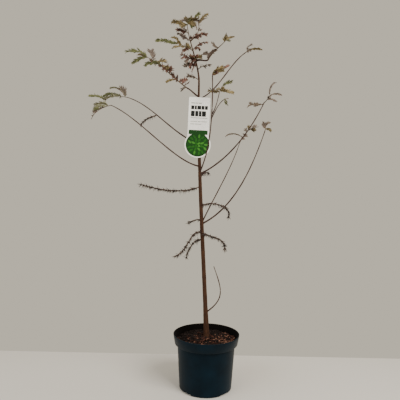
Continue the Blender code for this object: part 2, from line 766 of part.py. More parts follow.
def fuse(name, stem, pieces, solver):
    """One body from a stem and the pieces on it, by one union on their collection."""
    body = bpy.data.objects.new(name, stem.copy())
    bpy.context.scene.collection.objects.link(body)
    others = new_collection(name + "_pieces")
    for i, mesh in enumerate(pieces):
        others.objects.link(bpy.data.objects.new(f"{name}_piece_{i}", mesh))
    join = body.modifiers.new("Join", "BOOLEAN")
    join.operation = "UNION"
    join.operand_type = "COLLECTION"
    join.collection = others
    join.solver = solver
    body.data = evaluated_mesh(body)
    body.modifiers.clear()
    for other in list(others.objects):
        bpy.data.objects.remove(other, do_unlink=True)
    bpy.data.collections.remove(others)
    bpy.context.scene.collection.objects.unlink(body)
    return body


def keep_one_body(mesh):
    """Drops loose scraps and inner shells, and says whether one closed body is left."""
    shape = bmesh.new()
    shape.from_mesh(mesh)
    bmesh.ops.triangulate(shape, faces=shape.faces)
    left = set(shape.verts)
    islands = []
    while left:
        island, reach = set(), [left.pop()]
        while reach:
            vertex = reach.pop()
            island.add(vertex)
            near = {edge.other_vert(vertex) for edge in vertex.link_edges} & left
            left -= near
            reach.extend(near)
        islands.append(island)
    largest = max(islands, key=len)
    scraps = [v for v in shape.verts if v not in largest]
    bmesh.ops.delete(shape, geom=scraps, context="VERTS")
    whole = all(edge.is_manifold for edge in shape.edges)
    shape.to_mesh(mesh)
    shape.free()
    return whole


def joined(name, stem, pieces):
    """The stem and its pieces as one closed body, or None. The second solver is for where the first fails."""
    for solver in ("EXACT", "MANIFOLD"):
        body = fuse(name, stem, [piece.copy() for piece in pieces], solver)
        if keep_one_body(body.data):
            return body
        bpy.data.objects.remove(body, do_unlink=True)
    return None


def sunk_root(points, share, order):
    """Where a spray starts inside its stem, each a little further back, so that no two roots meet."""
    length = sum((b - a).length for a, b in zip(points, points[1:]))
    back = (ROOT_SINK + ROOT_STEP * (order % 5)) / length
    return along(points, max(share - back, 0.12))


def make_mass(name, mass, start, carrier_tree, obstacles):
    """A mass of needles: its stem, the sprays and tufts it is known for, and the rule's small side sprays."""
    dice = random.Random(f"{SEED} {name}")
    points = clear_start(arc_points(start, mass.arc, STEM_RINGS), TWIG_RADIUS, carrier_tree)
    radii = [TWIG_RADIUS * (1.15 - 0.35 * i / STEM_RINGS) for i in range(STEM_RINGS)]
    sprays = list(mass.sprays)
    for tuft in mass.tufts:
        sprays += tuft_sprays(tuft, dice)
    sprays += side_sprays(mass.arc, mass.fill, dice)
    stem = loft(twig_rings(points, radii))
    for attempt in range(JOIN_TRIES):
        pieces = []
        for i, spray in enumerate(sprays):
            rings = spray_rings(sunk_root(points, spray.share, i), spray, spray_roll(i + 2 * attempt))
            if has_room(rings, obstacles):
                pieces.append(loft(rings))
        body = joined(name, stem, pieces)
        if body:
            return body, points[0]
    raise ValueError(f"{name} did not join")


def make_shoot(name, shoot, start, carrier_tree, obstacles):
    """A wilted shoot: its stem and the dried needles on it."""
    dice = random.Random(f"{SEED} {name}")
    points = clear_start(arc_points(start, shoot.arc, STEM_RINGS), SHOOT_RADIUS, carrier_tree)
    radii = [SHOOT_RADIUS * (1.1 - 0.5 * i / STEM_RINGS) for i in range(STEM_RINGS)]
    stem = loft(twig_rings(points, radii))
    for _ in range(JOIN_TRIES):
        pieces = [loft(rings) for rings in hairs(points, shoot.fill, dice) if has_room(rings, obstacles)]
        body = joined(name, stem, pieces)
        if body:
            return body, points[0]
    raise ValueError(f"{name} did not join")


def make_label(trunk_line, height_to_share):
    """The care label: a card with a round lower end, held by a loop round the trunk."""
    axis = along(trunk_line, height_to_share(LABEL_TOP - LOOP_DROP))
    around = trunk_radius(axis.z - GROUND)
    loop_y = -(LOOP_RADIUS - LOOP_WIRE - around - 1.5 * GAP)
    face_y = loop_y - LOOP_RADIUS
    outline = bpy.data.curves.new("label_outline", "CURVE")
    outline.dimensions = "2D"
    outline.fill_mode = "BOTH"
    outline.extrude = LABEL_THICK / 2
    spline = outline.splines.new("POLY")
    half = LABEL_WIDTH / 2
    disc_y = -(LABEL_LENGTH - LABEL_DISC_RADIUS)
    meet = math.asin(half / LABEL_DISC_RADIUS)
    corners = [(-half, 0.0), (-half, disc_y + LABEL_DISC_RADIUS * math.cos(meet))]
    sweep = 2 * math.pi - 2 * meet
    steps = 24
    for i in range(1, steps):
        angle = math.pi / 2 + meet + sweep * i / steps
        corners.append((LABEL_DISC_RADIUS * math.cos(angle), disc_y + LABEL_DISC_RADIUS * math.sin(angle)))
    corners += [(half, disc_y + LABEL_DISC_RADIUS * math.cos(meet)), (half, 0.0)]
    spline.points.add(len(corners) - 1)
    for point, corner in zip(spline.points, corners):
        point.co = (*corner, 0.0, 1.0)
    spline.use_cyclic_u = True
    card = bpy.data.objects.new("label_card", outline)
    bpy.context.scene.collection.objects.link(card)
    plate = welded_mesh(card)
    bpy.data.objects.remove(card, do_unlink=True)
    hang = Matrix.Rotation(LABEL_LEAN, 4, "Y") @ Matrix.Rotation(math.pi / 2, 4, "X")
    hook = Vector((axis.x + LABEL_SIDE, face_y, LABEL_TOP))
    plate.transform(Matrix.Translation(hook) @ hang)
    bpy.ops.mesh.primitive_torus_add(
        major_radius=LOOP_RADIUS, minor_radius=LOOP_WIRE, major_segments=16, minor_segments=5
    )
    loop = bpy.context.object
    loop.data.transform(Matrix.Translation((axis.x, loop_y, axis.z)))
    wire = loop.data.copy()
    bpy.data.objects.remove(loop, do_unlink=True)
    return joined("label", plate, [wire]), hook


def main():
    """Builds the pot, the tree and the label, one named object for each sub-part."""
    clear_scene()
    parts = new_collection(TREE)
    root = bpy.data.objects.new(TREE, None)
    parts.objects.link(root)
    trees, lines = {}, {}

    def height_to_share(height):
        return (height - GROUND - GAP) / TRUNK_HEIGHT

    def add(item, foot, finish):
        parts.objects.link(item)
        place(item, foot, finish, root)
        trees[item.name] = surface_tree(item)

    add(make_pot(), Vector(), material("pot_plastic", (0.012, 0.018, 0.022), 0.55))
    add(make_compost(), Vector(), material("bark_compost", (0.06, 0.028, 0.016), 0.95))
    trunk, lines["trunk"] = make_trunk()
    add(trunk, lines["trunk"][0].copy(), material("trunk_bark", BARK, 0.8))
    label, hook = make_label(lines["trunk"], height_to_share)
    add(label, hook, material("label_card", (0.75, 0.74, 0.70), 0.4))

    for name, limb in LIMBS.items():
        start = along(lines[limb.carrier], limb.share)
        count = max(7, min(15, round(arc_length(limb.arc) / 0.020)))
        foot, tip = limb.foot_diameter * MM / 2, limb.tip_diameter * MM / 2
        points = clear_start(arc_points(start, limb.arc, count), foot, trees[limb.carrier])
        radii = [foot + (tip - foot) * i / (count - 1) for i in range(count)]
        lines[name] = points
        add(tube(name, points, radii, 6), points[0].copy(), material(name + "_bark", GREEN_TWIG, 0.75))

    for name, mass in MASSES.items():
        start = along(lines[mass.carrier], mass.share)
        body, foot = make_mass(name, mass, start, trees[mass.carrier], list(trees.values()))
        add(body, foot.copy(), material(name + "_needles", OLIVE, 0.7))

    for name, shoot in SHOOTS.items():
        start = along(lines[shoot.carrier], shoot.share)
        body, foot = make_shoot(name, shoot, start, trees[shoot.carrier], list(trees.values()))
        add(body, foot.copy(), material(name + "_wilted", WILTED, 0.8))


if __name__ == "__main__":
    main()
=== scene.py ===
"""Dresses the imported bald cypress: bark, needles in their autumn colours, bark compost, pot and care label.

Metres, +Z up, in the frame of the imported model. The tree is grown again here by the rule that its solids
follow: limbs along arcs, a stem for each mass, and sprays that branch from it. Here each spray is a thin twig
with two rows of needles.
"""

import math
import random
from collections import namedtuple

import bpy
from bpy.props import FloatProperty, FloatVectorProperty, IntProperty, PointerProperty
from mathutils import Matrix, Vector, noise


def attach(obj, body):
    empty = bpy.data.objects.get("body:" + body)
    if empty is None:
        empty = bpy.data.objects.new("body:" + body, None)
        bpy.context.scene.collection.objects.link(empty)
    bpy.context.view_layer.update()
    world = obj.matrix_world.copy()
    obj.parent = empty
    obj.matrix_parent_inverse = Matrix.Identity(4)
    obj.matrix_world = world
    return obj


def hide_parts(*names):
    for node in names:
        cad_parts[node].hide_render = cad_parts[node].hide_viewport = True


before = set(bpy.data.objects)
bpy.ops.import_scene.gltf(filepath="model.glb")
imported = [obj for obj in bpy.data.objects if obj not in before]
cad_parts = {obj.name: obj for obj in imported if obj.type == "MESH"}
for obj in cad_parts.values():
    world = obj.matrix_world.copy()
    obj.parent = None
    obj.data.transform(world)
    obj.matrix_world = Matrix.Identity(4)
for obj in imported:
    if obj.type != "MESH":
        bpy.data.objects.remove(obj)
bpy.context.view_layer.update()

bl_info = {
    "name": "Potted Bald Cypress",
    "version": (1, 0, 0),
    "blender": (4, 5, 0),
    "location": "View3D > Sidebar > Cypress",
    "description": "Grows the bark, needles, compost, pot and label of a young bald cypress",
    "category": "Add Mesh",
}

MM = 0.001
ROOT = "root"
SEED = 7

# The camera that matches the photograph: a 400 pixel square frame on a 36 mm sensor
CAMERA_PLACE = Vector((-0.0269, -1.2782, 0.5822))
CAMERA_PITCH = math.radians(-1.124)
CAMERA_ROLL = math.radians(1.1556)
CAMERA_LENS = 38.80

# The pot and its compost
POT_WALL = 0.0016
POT_FLOOR = 0.0066
POT_BASE_RADIUS = 0.0775
POT_CHAMFER = 0.0030
POT_SHOULDER_RADIUS = 0.0856
POT_SHOULDER_HEIGHT = 0.1305
LIP_FOOT_RADIUS = 0.0935
LIP_FOOT_HEIGHT = 0.1328
RIM_RADIUS = 0.0982
POT_HEIGHT = 0.1600
RIM_ROUND = 0.0006
LIP_ROUND = 0.0010
POT_STEPS = 192
DRAIN_COUNT = 4
DRAIN_WIDTH = 0.034
DRAIN_HEIGHT = 0.0050
DRAIN_DEPTH = 0.0160
COMPOST_EDGE_HEIGHT = 0.1405
GROUND = 0.1510
STEM_SEAT_RADIUS = 0.0150
MOUND_SHAPE = 1.6

# The trunk
TRUNK_FOOT_X = 0.0005
TRUNK_HEIGHT = 0.918
TRUNK_BASE_RADIUS = 0.0064
TRUNK_TIP_RADIUS = 0.0009
TRUNK_TAPER = 2.2
SWELL = 0.0020
SWELL_HEIGHT = 0.075
FLARE = 0.0014
FLARE_HEIGHT = 0.012
GAP = 0.0003

# The care label
LABEL_WIDTH = 0.0625
LABEL_DISC_RADIUS = 0.0385
LABEL_LENGTH = 0.1772
LABEL_THICK = 0.0008
LABEL_TOP = 0.8585
LABEL_SIDE = 0.0033
LABEL_LEAN = math.radians(1.7)
LABEL_BAND_INSET = 0.0033
LABEL_PRINT_LEFT = -0.024
LABEL_PRINT_GAP = 0.0016
# Rows of plain printed bars down the card: bottom, top, each bar's width, ink
LABEL_ROWS = (
    (-0.0184, -0.0158, (0.012, 0.006, 0.009), "grey"),
    (-0.0355, -0.0245, (0.009, 0.006, 0.011, 0.008, 0.0085), "black"),
    (-0.0560, -0.0400, (0.011, 0.009, 0.0075, 0.012), "black"),
    (-0.0611, -0.0598, (0.049,), "black"),
    (-0.0718, -0.0702, (0.020, 0.008, 0.017), "grey"),
    (-0.0793, -0.0777, (0.011, 0.019), "grey"),
)
LOOP_RADIUS = 0.0056
LOOP_WIRE = 0.0007
LOOP_DROP = 0.006

# Twigs, and how far each spray of needles is turned about its own line, in degrees
TWIG_RADIUS = 0.0013
TWIG_TIP_RADIUS = 0.0007
SHOOT_RADIUS = 0.0013
LEAST_ROLL = 38
ROLL_STEP = 17
ROLL_RANGE = 41

Arc = namedtuple("Arc", "heading reach climb leave arrive pull", defaults=(1.0,))
Limb = namedtuple("Limb", "carrier share arc foot_diameter tip_diameter")
Spray = namedtuple("Spray", "share arc width")
Tuft = namedtuple("Tuft", "share count length width heading fan rise")
Mass = namedtuple("Mass", "carrier share arc sprays tufts fill tints", defaults=((), (), 2, "o"))

STEM = Arc(180, 37.5, 760, 87, 90)
LEADER = Arc(180, 38, 158, 85, 81)

LIMBS = {
    "bough_left_top": Limb("trunk", 0.774, Arc(186, 35, 24, 24, 22), 4.4, 4.0),
    "bough_left_high": Limb("trunk", 0.622, Arc(152, 267, 160, 20, 17), 4.6, 2.4),
    "bough_left_low": Limb("trunk", 0.551, Arc(213, 278, 145, 4, 15, 0.8), 4.4, 2.2),
    "bough_back": Limb("trunk", 0.563, Arc(97, 120, 100, 30, 50), 3.6, 2.0),
    "bough_right_top": Limb("trunk", 0.887, Arc(-35, 43, -3, 31, 13), 5.4, 4.6),
    "bough_right_high": Limb("trunk", 0.766, Arc(22, 152, 158, 25, 37), 3.8, 3.0),
    "bough_right_mid": Limb("trunk", 0.526, Arc(-24, 191, 198, 23, 64), 4.8, 2.6),
    "bough_right_thin": Limb("trunk", 0.367, Arc(50, 188, 258, 54, 63), 4.0, 2.2),
    "bough_right_low": Limb("trunk", 0.365, Arc(-12, 180, 274, 27, 72), 5.0, 2.4),
    "bough_upright": Limb("trunk", 0.532, Arc(-60, 61, 270, 46, 94), 3.9, 2.8),
    "fork_upright_high": Limb("bough_upright", 0.623, Arc(20, 22, 64, 56, 77), 2.8, 2.0),
    "fork_upright_low": Limb("bough_upright", 0.588, Arc(-42, 42, 46, 53, 25), 2.8, 2.0),
    "twig_low": Limb("trunk", 0.077, Arc(18, 23, 137, 30, 111, 1.6), 3.8, 2.4),
}

MASSES = {
    "needles_left_high": Mass(
        "bough_left_high", 1.0, Arc(150, 96, -2, 14, -36),
        [
            Spray(0.10, Arc(170, 54, 26, 115, -65), 6),
            Spray(0.11, Arc(165, 19, 32, 92, 33), 19),
            Spray(0.32, Arc(160, 68, 0, 30, -45), 9),
            Spray(1.0, Arc(170, 61, 18, 58, -4), 13),
            Spray(0.97, Arc(-160, 4, -12, -80, -75), 8),
        ],
        fill=4, tints="ybggyy",
    ),
    "needles_left_low": Mass(
        "bough_left_low", 1.0, Arc(213, 52, -42, -18, -73),
        [
            Spray(0.10, Arc(-162, 38, -1, 39, -37), 8),
            Spray(0.21, Arc(-158, 29, -7, 30, -56), 13),
            Spray(0.48, Arc(-155, 13, -3, 37, -65), 8),
            Spray(0.16, Arc(165, 12, 11, 54, 28), 8),
        ],
        fill=1, tints="yygyt",
    ),
    "needles_left_top": Mass(
        "bough_left_top", 1.0, Arc(186, 118, 84, 33, 23),
        [
            Spray(0.02, Arc(-150, 14, -8, -22, -49), 17),
            Spray(0.28, Arc(-155, 29, -14, -15, -85), 9),
            Spray(0.69, Arc(-165, 46, -6, 70, -65), 11),
            Spray(0.87, Arc(160, 7, 31, 108, 75), 19),
            Spray(0.77, Arc(15, 26, 6, 56, -34), 14),
            Spray(1.0, Arc(180, 64, 14, 61, -25), 18),
            Spray(1.0, Arc(-155, 46, -26, 0, -45), 11),
            Spray(0.98, Arc(150, 42, 13, 28, -17), 5),
        ],
        [
            Tuft(0.22, 5, 20, 11, 60, 190, 38),
            Tuft(0.61, 5, 18, 11, 50, 190, 45),
            Tuft(0.70, 4, 16, 11, 40, 150, 5),
        ],
        fill=4, tints="togboggorror",
    ),
    "needles_back": Mass(
        "bough_back", 1.0, Arc(97, 40, 30, 50, 20),
        [
            Spray(0.35, Arc(75, 34, 16, 40, -20), 10),
            Spray(0.60, Arc(125, 32, 8, 30, -35), 10),
            Spray(1.0, Arc(95, 36, 6, 25, -35), 10),
        ],
        [Tuft(0.3, 3, 20, 9, 95, 160, 20)],
        fill=3, tints="gogog",
    ),
    "needles_right_top": Mass(
        "bough_right_top", 1.0, Arc(-35, 60, 46, 58, 40),
        [
            Spray(0.62, Arc(165, 21, 17, 10, 45), 9),
            Spray(1.0, Arc(10, 25, 12, 50, 5), 4),
            Spray(1.0, Arc(-40, 15, -5, 0, -30), 6),
            Spray(0.02, Arc(-35, 31, 23, 110, -9), 9),
        ],
        [Tuft(1.0, 3, 18, 10, 70, 120, 75)],
        fill=0, tints="boykok",
    ),
    "needles_right_high": Mass(
        "bough_right_high", 1.0, Arc(22, 10, 9, 42, 42),
        [
            Spray(0.67, Arc(-10, 12, 18, 135, -4), 12),
            Spray(1.0, Arc(-35, 49, -8, 11, -26), 5),
            Spray(0.90, Arc(70, 22, 6, 40, -10), 7),
        ],
        fill=1, tints="bokb",
    ),
    "needles_upright": Mass(
        "bough_upright", 1.0, Arc(0, 5, 15, 100, 43),
        [
            Spray(1.0, Arc(10, 27, 10, 36, -14), 15),
            Spray(0.80, Arc(-25, 32, 1, 12, 6), 9),
            Spray(1.0, Arc(28, 51, 25, 15, 33), 7),
            Spray(0.06, Arc(-30, 16, 8, 49, 19), 10),
        ],
        fill=1, tints="oorro",
    ),
    "needles_fork_high": Mass(
        "fork_upright_high", 1.0, Arc(20, 9, 20, 77, 54),
        [
            Spray(0.25, Arc(150, 39, 5, -12, 2), 12),
            Spray(0.36, Arc(150, 11, 5, 45, 11), 8),
            Spray(0.25, Arc(10, 41, -4, 10, -18), 11),
            Spray(1.0, Arc(20, 29, 15, 43, 4), 12),
            Spray(0.36, Arc(-50, 28, -8, -4, -28), 9),
        ],
        fill=1, tints="ooogoo",
    ),
    "needles_fork_low": Mass(
        "fork_upright_low", 1.0, Arc(-42, 6, 3, 37, 20),
        [
            Spray(0.90, Arc(-10, 9, 0, 22, -35), 4),
            Spray(0.29, Arc(-40, 15, -17, -81, -46), 6),
            Spray(0.50, Arc(-60, 15, -12, 0, -40), 5),
        ],
        fill=0, tints="tgyy",
    ),
    "needles_right_mid_tip": Mass(
        "bough_right_mid", 1.0, Arc(-24, 16, 19, 31, 54),
        [
            Spray(1.0, Arc(45, 32, 40, 125, -18), 3),
            Spray(1.0, Arc(10, 36, 1, 30, -35), 3),
            Spray(0.47, Arc(-12, 27, -7, 19, -43), 5),
        ],
        fill=1, tints="tttt",
    ),
    "needles_right_mid_side": Mass(
        "bough_right_mid", 0.983, Arc(186, 46, -12, -8, -54),
        [
            Spray(0.08, Arc(200, 27, -4, -6, -30), 8),
            Spray(0.12, Arc(165, 19, -3, -11, 1), 7),
        ],
        fill=1, tints="bbb",
    ),
    "needles_right_mid_inner": Mass(
        "bough_right_mid", 0.66, Arc(6, 35, 18, 65, 10),
        [
            Spray(0.25, Arc(60, 12, 12, 110, -10), 8),
            Spray(0.41, Arc(-40, 17, -2, -30, 25), 9),
            Spray(0.56, Arc(30, 14, 9, 60, 0), 6),
            Spray(0.11, Arc(120, 8, 9, 30, 80), 7),
        ],
        [Tuft(0.3, 2, 14, 7, -40, 60, 5)],
        fill=0, tints="oobtbo",
    ),
    "needles_right_mid_back": Mass(
        "bough_right_mid", 0.603, Arc(170, 50, 1, 38, -71),
        [Spray(0.15, Arc(170, 41, -1, 37, -47), 3)],
        fill=0, tints="tt",
    ),
    "needles_right_thin": Mass("bough_right_thin", 1.0, Arc(60, 48, 36, 41, 34), fill=1, tints="t"),
    "needles_right_low": Mass(
        "bough_right_low", 1.0, Arc(-12, 2, 13, 82, 82),
        [
            Spray(0.50, Arc(15, 14, 18, 139, -10), 10),
            Spray(0.44, Arc(140, 6, 14, 52, 81), 10),
            Spray(0.30, Arc(-40, 19, -7, 28, -63), 8),
        ],
        [Tuft(0.9, 2, 15, 7, 90, 120, 40)],
        fill=0, tints="bbobb",
    ),
    "leader_shoot_01": Mass(
        "trunk", 0.827, Arc(204, 41, 6, 34, -18), [Spray(0.35, Arc(186, 24, 1, 10, -25), 5)], fill=1, tints="tt"
    ),
    "leader_shoot_02": Mass(
        "trunk", 0.860, Arc(-35, 41, 9, 40, -1), [Spray(0.44, Arc(-30, 18, 1, 0, -35), 5)], fill=1, tints="tk"
    ),
    "leader_shoot_03": Mass(
        "trunk", 0.866, Arc(160, 43, 7, 80, -40), [Spray(0.40, Arc(-170, 27, -9, -17, -46), 6)], fill=3, tints="tt"
    ),
    "leader_shoot_04": Mass(
        "trunk", 0.855, Arc(208, 56, 39, 89, -12),
        [
            Spray(0.30, Arc(-150, 12, -24, -40, -70), 9),
            Spray(0.45, Arc(-160, 10, -22, -40, -75), 9),
            Spray(0.62, Arc(-150, 14, -14, -50, -60), 9),
            Spray(0.80, Arc(-160, 12, -10, -50, -50), 7),
        ],
        [Tuft(0.45, 3, 16, 9, 160, 130, 50)],
        fill=4, tints="rrkrrr",
    ),
    "leader_shoot_05": Mass(
        "trunk", 0.879, Arc(262, 30, 13, 70, -35), (), [Tuft(0.5, 5, 18, 10, 270, 250, 10)], fill=1, tints="or"
    ),
    "leader_shoot_06": Mass(
        "trunk", 0.890, Arc(38, 50, 30, 55, -3), [Spray(0.50, Arc(30, 20, 4, 10, 0), 6)], fill=1, tints="tt"
    ),
    "leader_shoot_07": Mass(
        "trunk", 0.918, Arc(163, 48, 32, 52, 55),
        [
            Spray(0.27, Arc(-150, 23, -12, -23, -41), 12),
            Spray(0.56, Arc(-165, 38, -11, -6, -50), 6),
            Spray(0.90, Arc(180, 74, 4, -1, -30), 9),
            Spray(1.0, Arc(140, 29, 21, 88, 17), 8),
        ],
        [Tuft(0.25, 3, 14, 10, 150, 90, 45)],
        fill=2, tints="rogooo",
    ),
    "leader_shoot_08": Mass(
        "trunk", 0.923, Arc(40, 58, 36, 52, 4),
        (),
        [
            Tuft(0.22, 2, 16, 8, -30, 60, -35),
        ],
        fill=2, tints="rr",
    ),
    "leader_shoot_09": Mass(
        "trunk", 0.949, Arc(-42, 61, 9, 38, -7), (), [Tuft(0.3, 4, 12, 9, 0, 260, 0)], fill=2, tints="rr"
    ),
    "leader_shoot_10": Mass("trunk", 0.953, Arc(128, 56, 35, 25, 19), fill=4, tints="k"),
    "leader_shoot_11": Mass(
        "trunk", 0.954, Arc(30, 25, 57, 17, 122),
        [
            Spray(0.96, Arc(30, 32, 23, 44, 11), 5),
            Spray(0.93, Arc(10, 31, 31, 57, 1), 8),
        ],
        fill=2, tints="kor",
    ),
    "leader_shoot_12": Mass("trunk", 0.975, Arc(200, 34, 5, 35, -14), fill=4, tints="r"),
    "leader_top": Mass(
        "trunk", 1.0, Arc(12, 22, 23, 88, 61),
        [
            Spray(0.10, Arc(-165, 47, -1, -7, -50), 13),
            Spray(0.31, Arc(160, 31, 7, 85, -46), 10),
            Spray(0.22, Arc(-145, 11, 17, 75, 38), 9),
            Spray(1.0, Arc(10, 15, 16, 81, 30), 11),
            Spray(0.94, Arc(-40, 18, 1, -11, 29), 11),
            Spray(0.81, Arc(10, 17, -1, 13, -31), 10),
            Spray(0.53, Arc(20, 19, -20, 16, -112), 6),
            Spray(0.15, Arc(-25, 24, -3, 30, -30), 13),
            Spray(0.35, Arc(-80, 20, 5, 30, -30), 14),
            Spray(0.05, Arc(-150, 22, -9, 20, -40), 13),
            Spray(0.60, Arc(-60, 19, 4, 40, -25), 13),
        ],
        [
            Tuft(0.30, 3, 16, 11, -90, 250, -30),
            Tuft(0.60, 3, 10, 11, 130, 200, 50),
        ],
        fill=2, tints="okogokkogoogoo",
    ),
}

# Wilted shoots, whose needles have dried to short hairs
SHOOTS = {
    "shoot_left_high": Mass("bough_left_high", 0.57, Arc(198, 50, -33, -15, -61), fill=9),
    "shoot_left_long": Mass("trunk", 0.486, Arc(176, 182, 3, -25, 14), fill=15),
    "shoot_left_low": Mass("trunk", 0.337, Arc(228, 111, -60, 18, -8, 1.3), fill=12),
    "shoot_left_lowest": Mass("trunk", 0.312, Arc(160, 50, -57, 25, -84), fill=7),
    "shoot_left_small": Mass("trunk", 0.376, Arc(150, 47, -10, 21, -28), fill=6),
    "shoot_right_high": Mass("trunk", 0.517, Arc(35, 31, 11, 46, -43), fill=6),
    "shoot_right_mid": Mass("trunk", 0.421, Arc(-18, 83, -29, 37, -117, 1.25), fill=10),
    "shoot_right_low": Mass("trunk", 0.336, Arc(-52, 103, -38, -17, -101), fill=10),
}


def linear(code):
    """A colour written as an sRGB hex value, turned to linear."""
    channels = [int(code[i:i + 2], 16) / 255 for i in (0, 2, 4)]
    return tuple(c / 12.92 if c <= 0.04045 else ((c + 0.055) / 1.055) ** 2.4 for c in channels)


# Each tint of needle in a dark, a middle and a light shade
TINTS = {
    "g": ("green", ("434525", "51532e", "666840")),
    "o": ("olive_gold", ("4a3e24", "625433", "7d6d49")),
    "y": ("grey_green", ("53513a", "6c6a50", "86836a")),
    "t": ("taupe", ("4c4139", "65574c", "7e7064")),
    "r": ("red_brown", ("3a241c", "56382d", "724f42")),
    "b": ("pink_brown", ("574a40", "716254", "8b7c6e")),
    "k": ("wilted", ("40332b", "54453b", "69594f")),
}
DRIED = ("271f1c", "3a2f2a", "524439")


class CypressSizes(bpy.types.PropertyGroup):
    """The sizes that set how fine the tree is."""

    needle_pitch: FloatProperty(
        name="Needle pitch", description="Distance between needles along a twig", default=0.0012, unit="LENGTH"
    )
    needle_width: FloatProperty(
        name="Needle width", description="Width of one needle", default=0.0017, unit="LENGTH"
    )
    bark_relief: FloatProperty(
        name="Bark relief", description="Depth of the strips in the trunk's bark", default=0.0004, unit="LENGTH"
    )
    chip_length: FloatProperty(
        name="Chip length", description="Length of a usual bark chip", default=0.008, unit="LENGTH"
    )
    chip_count: IntProperty(name="Chip count", description="Number of bark chips on the compost", default=1100)


class CypressColours(bpy.types.PropertyGroup):
    """The colours of the bark, the pot and the label."""

    trunk_bark: FloatVectorProperty(
        name="Trunk bark", description="Main colour of the trunk", subtype="COLOR", default=linear("3b2312")
    )
    bough_bark: FloatVectorProperty(
        name="Bough bark", description="Main colour of the boughs", subtype="COLOR", default=linear("3a2822")
    )
    pot_plastic: FloatVectorProperty(
        name="Pot plastic", description="Colour of the nursery pot", subtype="COLOR", default=linear("03121b")
    )
    label_card: FloatVectorProperty(
        name="Label card", description="Colour of the label's card", subtype="COLOR", default=linear("eae8e2")
    )
    label_green: FloatVectorProperty(
        name="Label green", description="Colour of the label's band and disc", subtype="COLOR", default=linear("0b380a")
    )


def sizes():
    """The sizes as they are set in the scene."""
    return bpy.context.scene.cypress_sizes


def colours():
    """The colours as they are set in the scene."""
    return bpy.context.scene.cypress_colours


def add_node(tree, kind, settings=None, links=None):
    """A node with its settings, and the sockets that feed it by input name or number."""
    node = tree.nodes.new(kind)
    for key, value in (settings or {}).items():
        if hasattr(node, key):
            setattr(node, key, value)
        else:
            node.inputs[key].default_value = value
    for key, source in (links or {}).items():
        tree.links.new(source, node.inputs[key])
    return node


def new_material(name, roughness, specular=0.5):
    """A Principled material, its node tree and its shader."""
    made = bpy.data.materials.new(name)
    made.use_nodes = True
    shader = made.node_tree.nodes["Principled BSDF"]
    shader.inputs["Roughness"].default_value = roughness
    shader.inputs["Specular IOR Level"].default_value = specular
    return made, made.node_tree, shader


def colour_ramp(tree, fac, stops):
    """A colour ramp of positions and linear colours."""
    ramp = add_node(tree, "ShaderNodeValToRGB", links={"Fac": fac})
    band = ramp.color_ramp
    while len(band.elements) < len(stops):
        band.elements.new(0.5)
    for element, (position, colour) in zip(band.elements, stops):
        element.position = position
        element.color = (*colour, 1.0)
    return ramp.outputs["Color"]


def shade(colour, factor):
    """A linear colour made darker or lighter."""
    return tuple(min(1.0, c * factor) for c in colour)


def bark_material(name, colour, strip_mm):
    """Young cypress bark: thin fibrous strips that peel lengthwise, matte, with paler edges."""
    made, tree, shader = new_material(name, 0.85, 0.25)
    place = add_node(tree, "ShaderNodeTexCoord")
    stretch = add_node(tree, "ShaderNodeMapping", {"Scale": (1.0, 1.0, 0.09)}, {"Vector": place.outputs["Object"]})
    per_metre = 1000.0 / strip_mm
    strips = add_node(
        tree, "ShaderNodeTexNoise", {"Scale": per_metre, "Detail": 4.0, "Roughness": 0.6},
        {"Vector": stretch.outputs["Vector"]},
    )
    patches = add_node(
        tree, "ShaderNodeTexNoise", {"Scale": 40.0, "Detail": 2.0}, {"Vector": place.outputs["Object"]}
    )
    fine = colour_ramp(
        tree, strips.outputs["Fac"],
        [(0.30, shade(colour, 0.42)), (0.48, shade(colour, 0.9)), (0.60, shade(colour, 1.25)), (0.74, shade(colour, 2.0))],
    )
    broad = colour_ramp(tree, patches.outputs["Fac"], [(0.35, (0.80, 0.76, 0.74)), (0.65, (1.0, 1.0, 1.0))])
    mixed = add_node(tree, "ShaderNodeMix", {"data_type": "RGBA", "blend_type": "MULTIPLY"})
    mixed.inputs["Factor"].default_value = 1.0
    tree.links.new(fine, mixed.inputs["A"])
    tree.links.new(broad, mixed.inputs["B"])
    tree.links.new(mixed.outputs["Result"], shader.inputs["Base Color"])
    bump = add_node(
        tree, "ShaderNodeBump", {"Strength": 0.6, "Distance": 0.0004}, {"Height": strips.outputs["Fac"]}
    )
    tree.links.new(bump.outputs["Normal"], shader.inputs["Normal"])
    return made


def needle_material(name, code):
    """Soft flat needles: a plain colour for each spray, with a dull waxy surface."""
    made, _, shader = new_material(name, 0.62, 0.3)
    shader.inputs["Base Color"].default_value = (*linear(code), 1.0)
    return made


def plastic_material(name, colour, roughness, grain_mm, dust, specular=0.5):
    """Moulded polypropylene: an even dull sheen with a fine grain and a film of dust."""
    made, tree, shader = new_material(name, roughness, specular)
    shader.inputs["Sheen Weight"].default_value = 0.03
    place = add_node(tree, "ShaderNodeTexCoord")
    film = add_node(tree, "ShaderNodeTexNoise", {"Scale": 22.0, "Detail": 5.0}, {"Vector": place.outputs["Object"]})
    grain = add_node(
        tree, "ShaderNodeTexNoise", {"Scale": 1000.0 / grain_mm, "Detail": 2.0}, {"Vector": place.outputs["Object"]}
    )
    base = colour_ramp(tree, film.outputs["Fac"], [(0.35, shade(colour, 0.9)), (0.75, shade(colour, 1.0 + dust))])
    tree.links.new(base, shader.inputs["Base Color"])
    rough = add_node(
        tree, "ShaderNodeMapRange", {"To Min": roughness - 0.06, "To Max": roughness + 0.08},
        {"Value": film.outputs["Fac"]},
    )
    tree.links.new(rough.outputs["Result"], shader.inputs["Roughness"])
    bump = add_node(tree, "ShaderNodeBump", {"Strength": 0.15, "Distance": 0.0001}, {"Height": grain.outputs["Fac"]})
    tree.links.new(bump.outputs["Normal"], shader.inputs["Normal"])
    return made


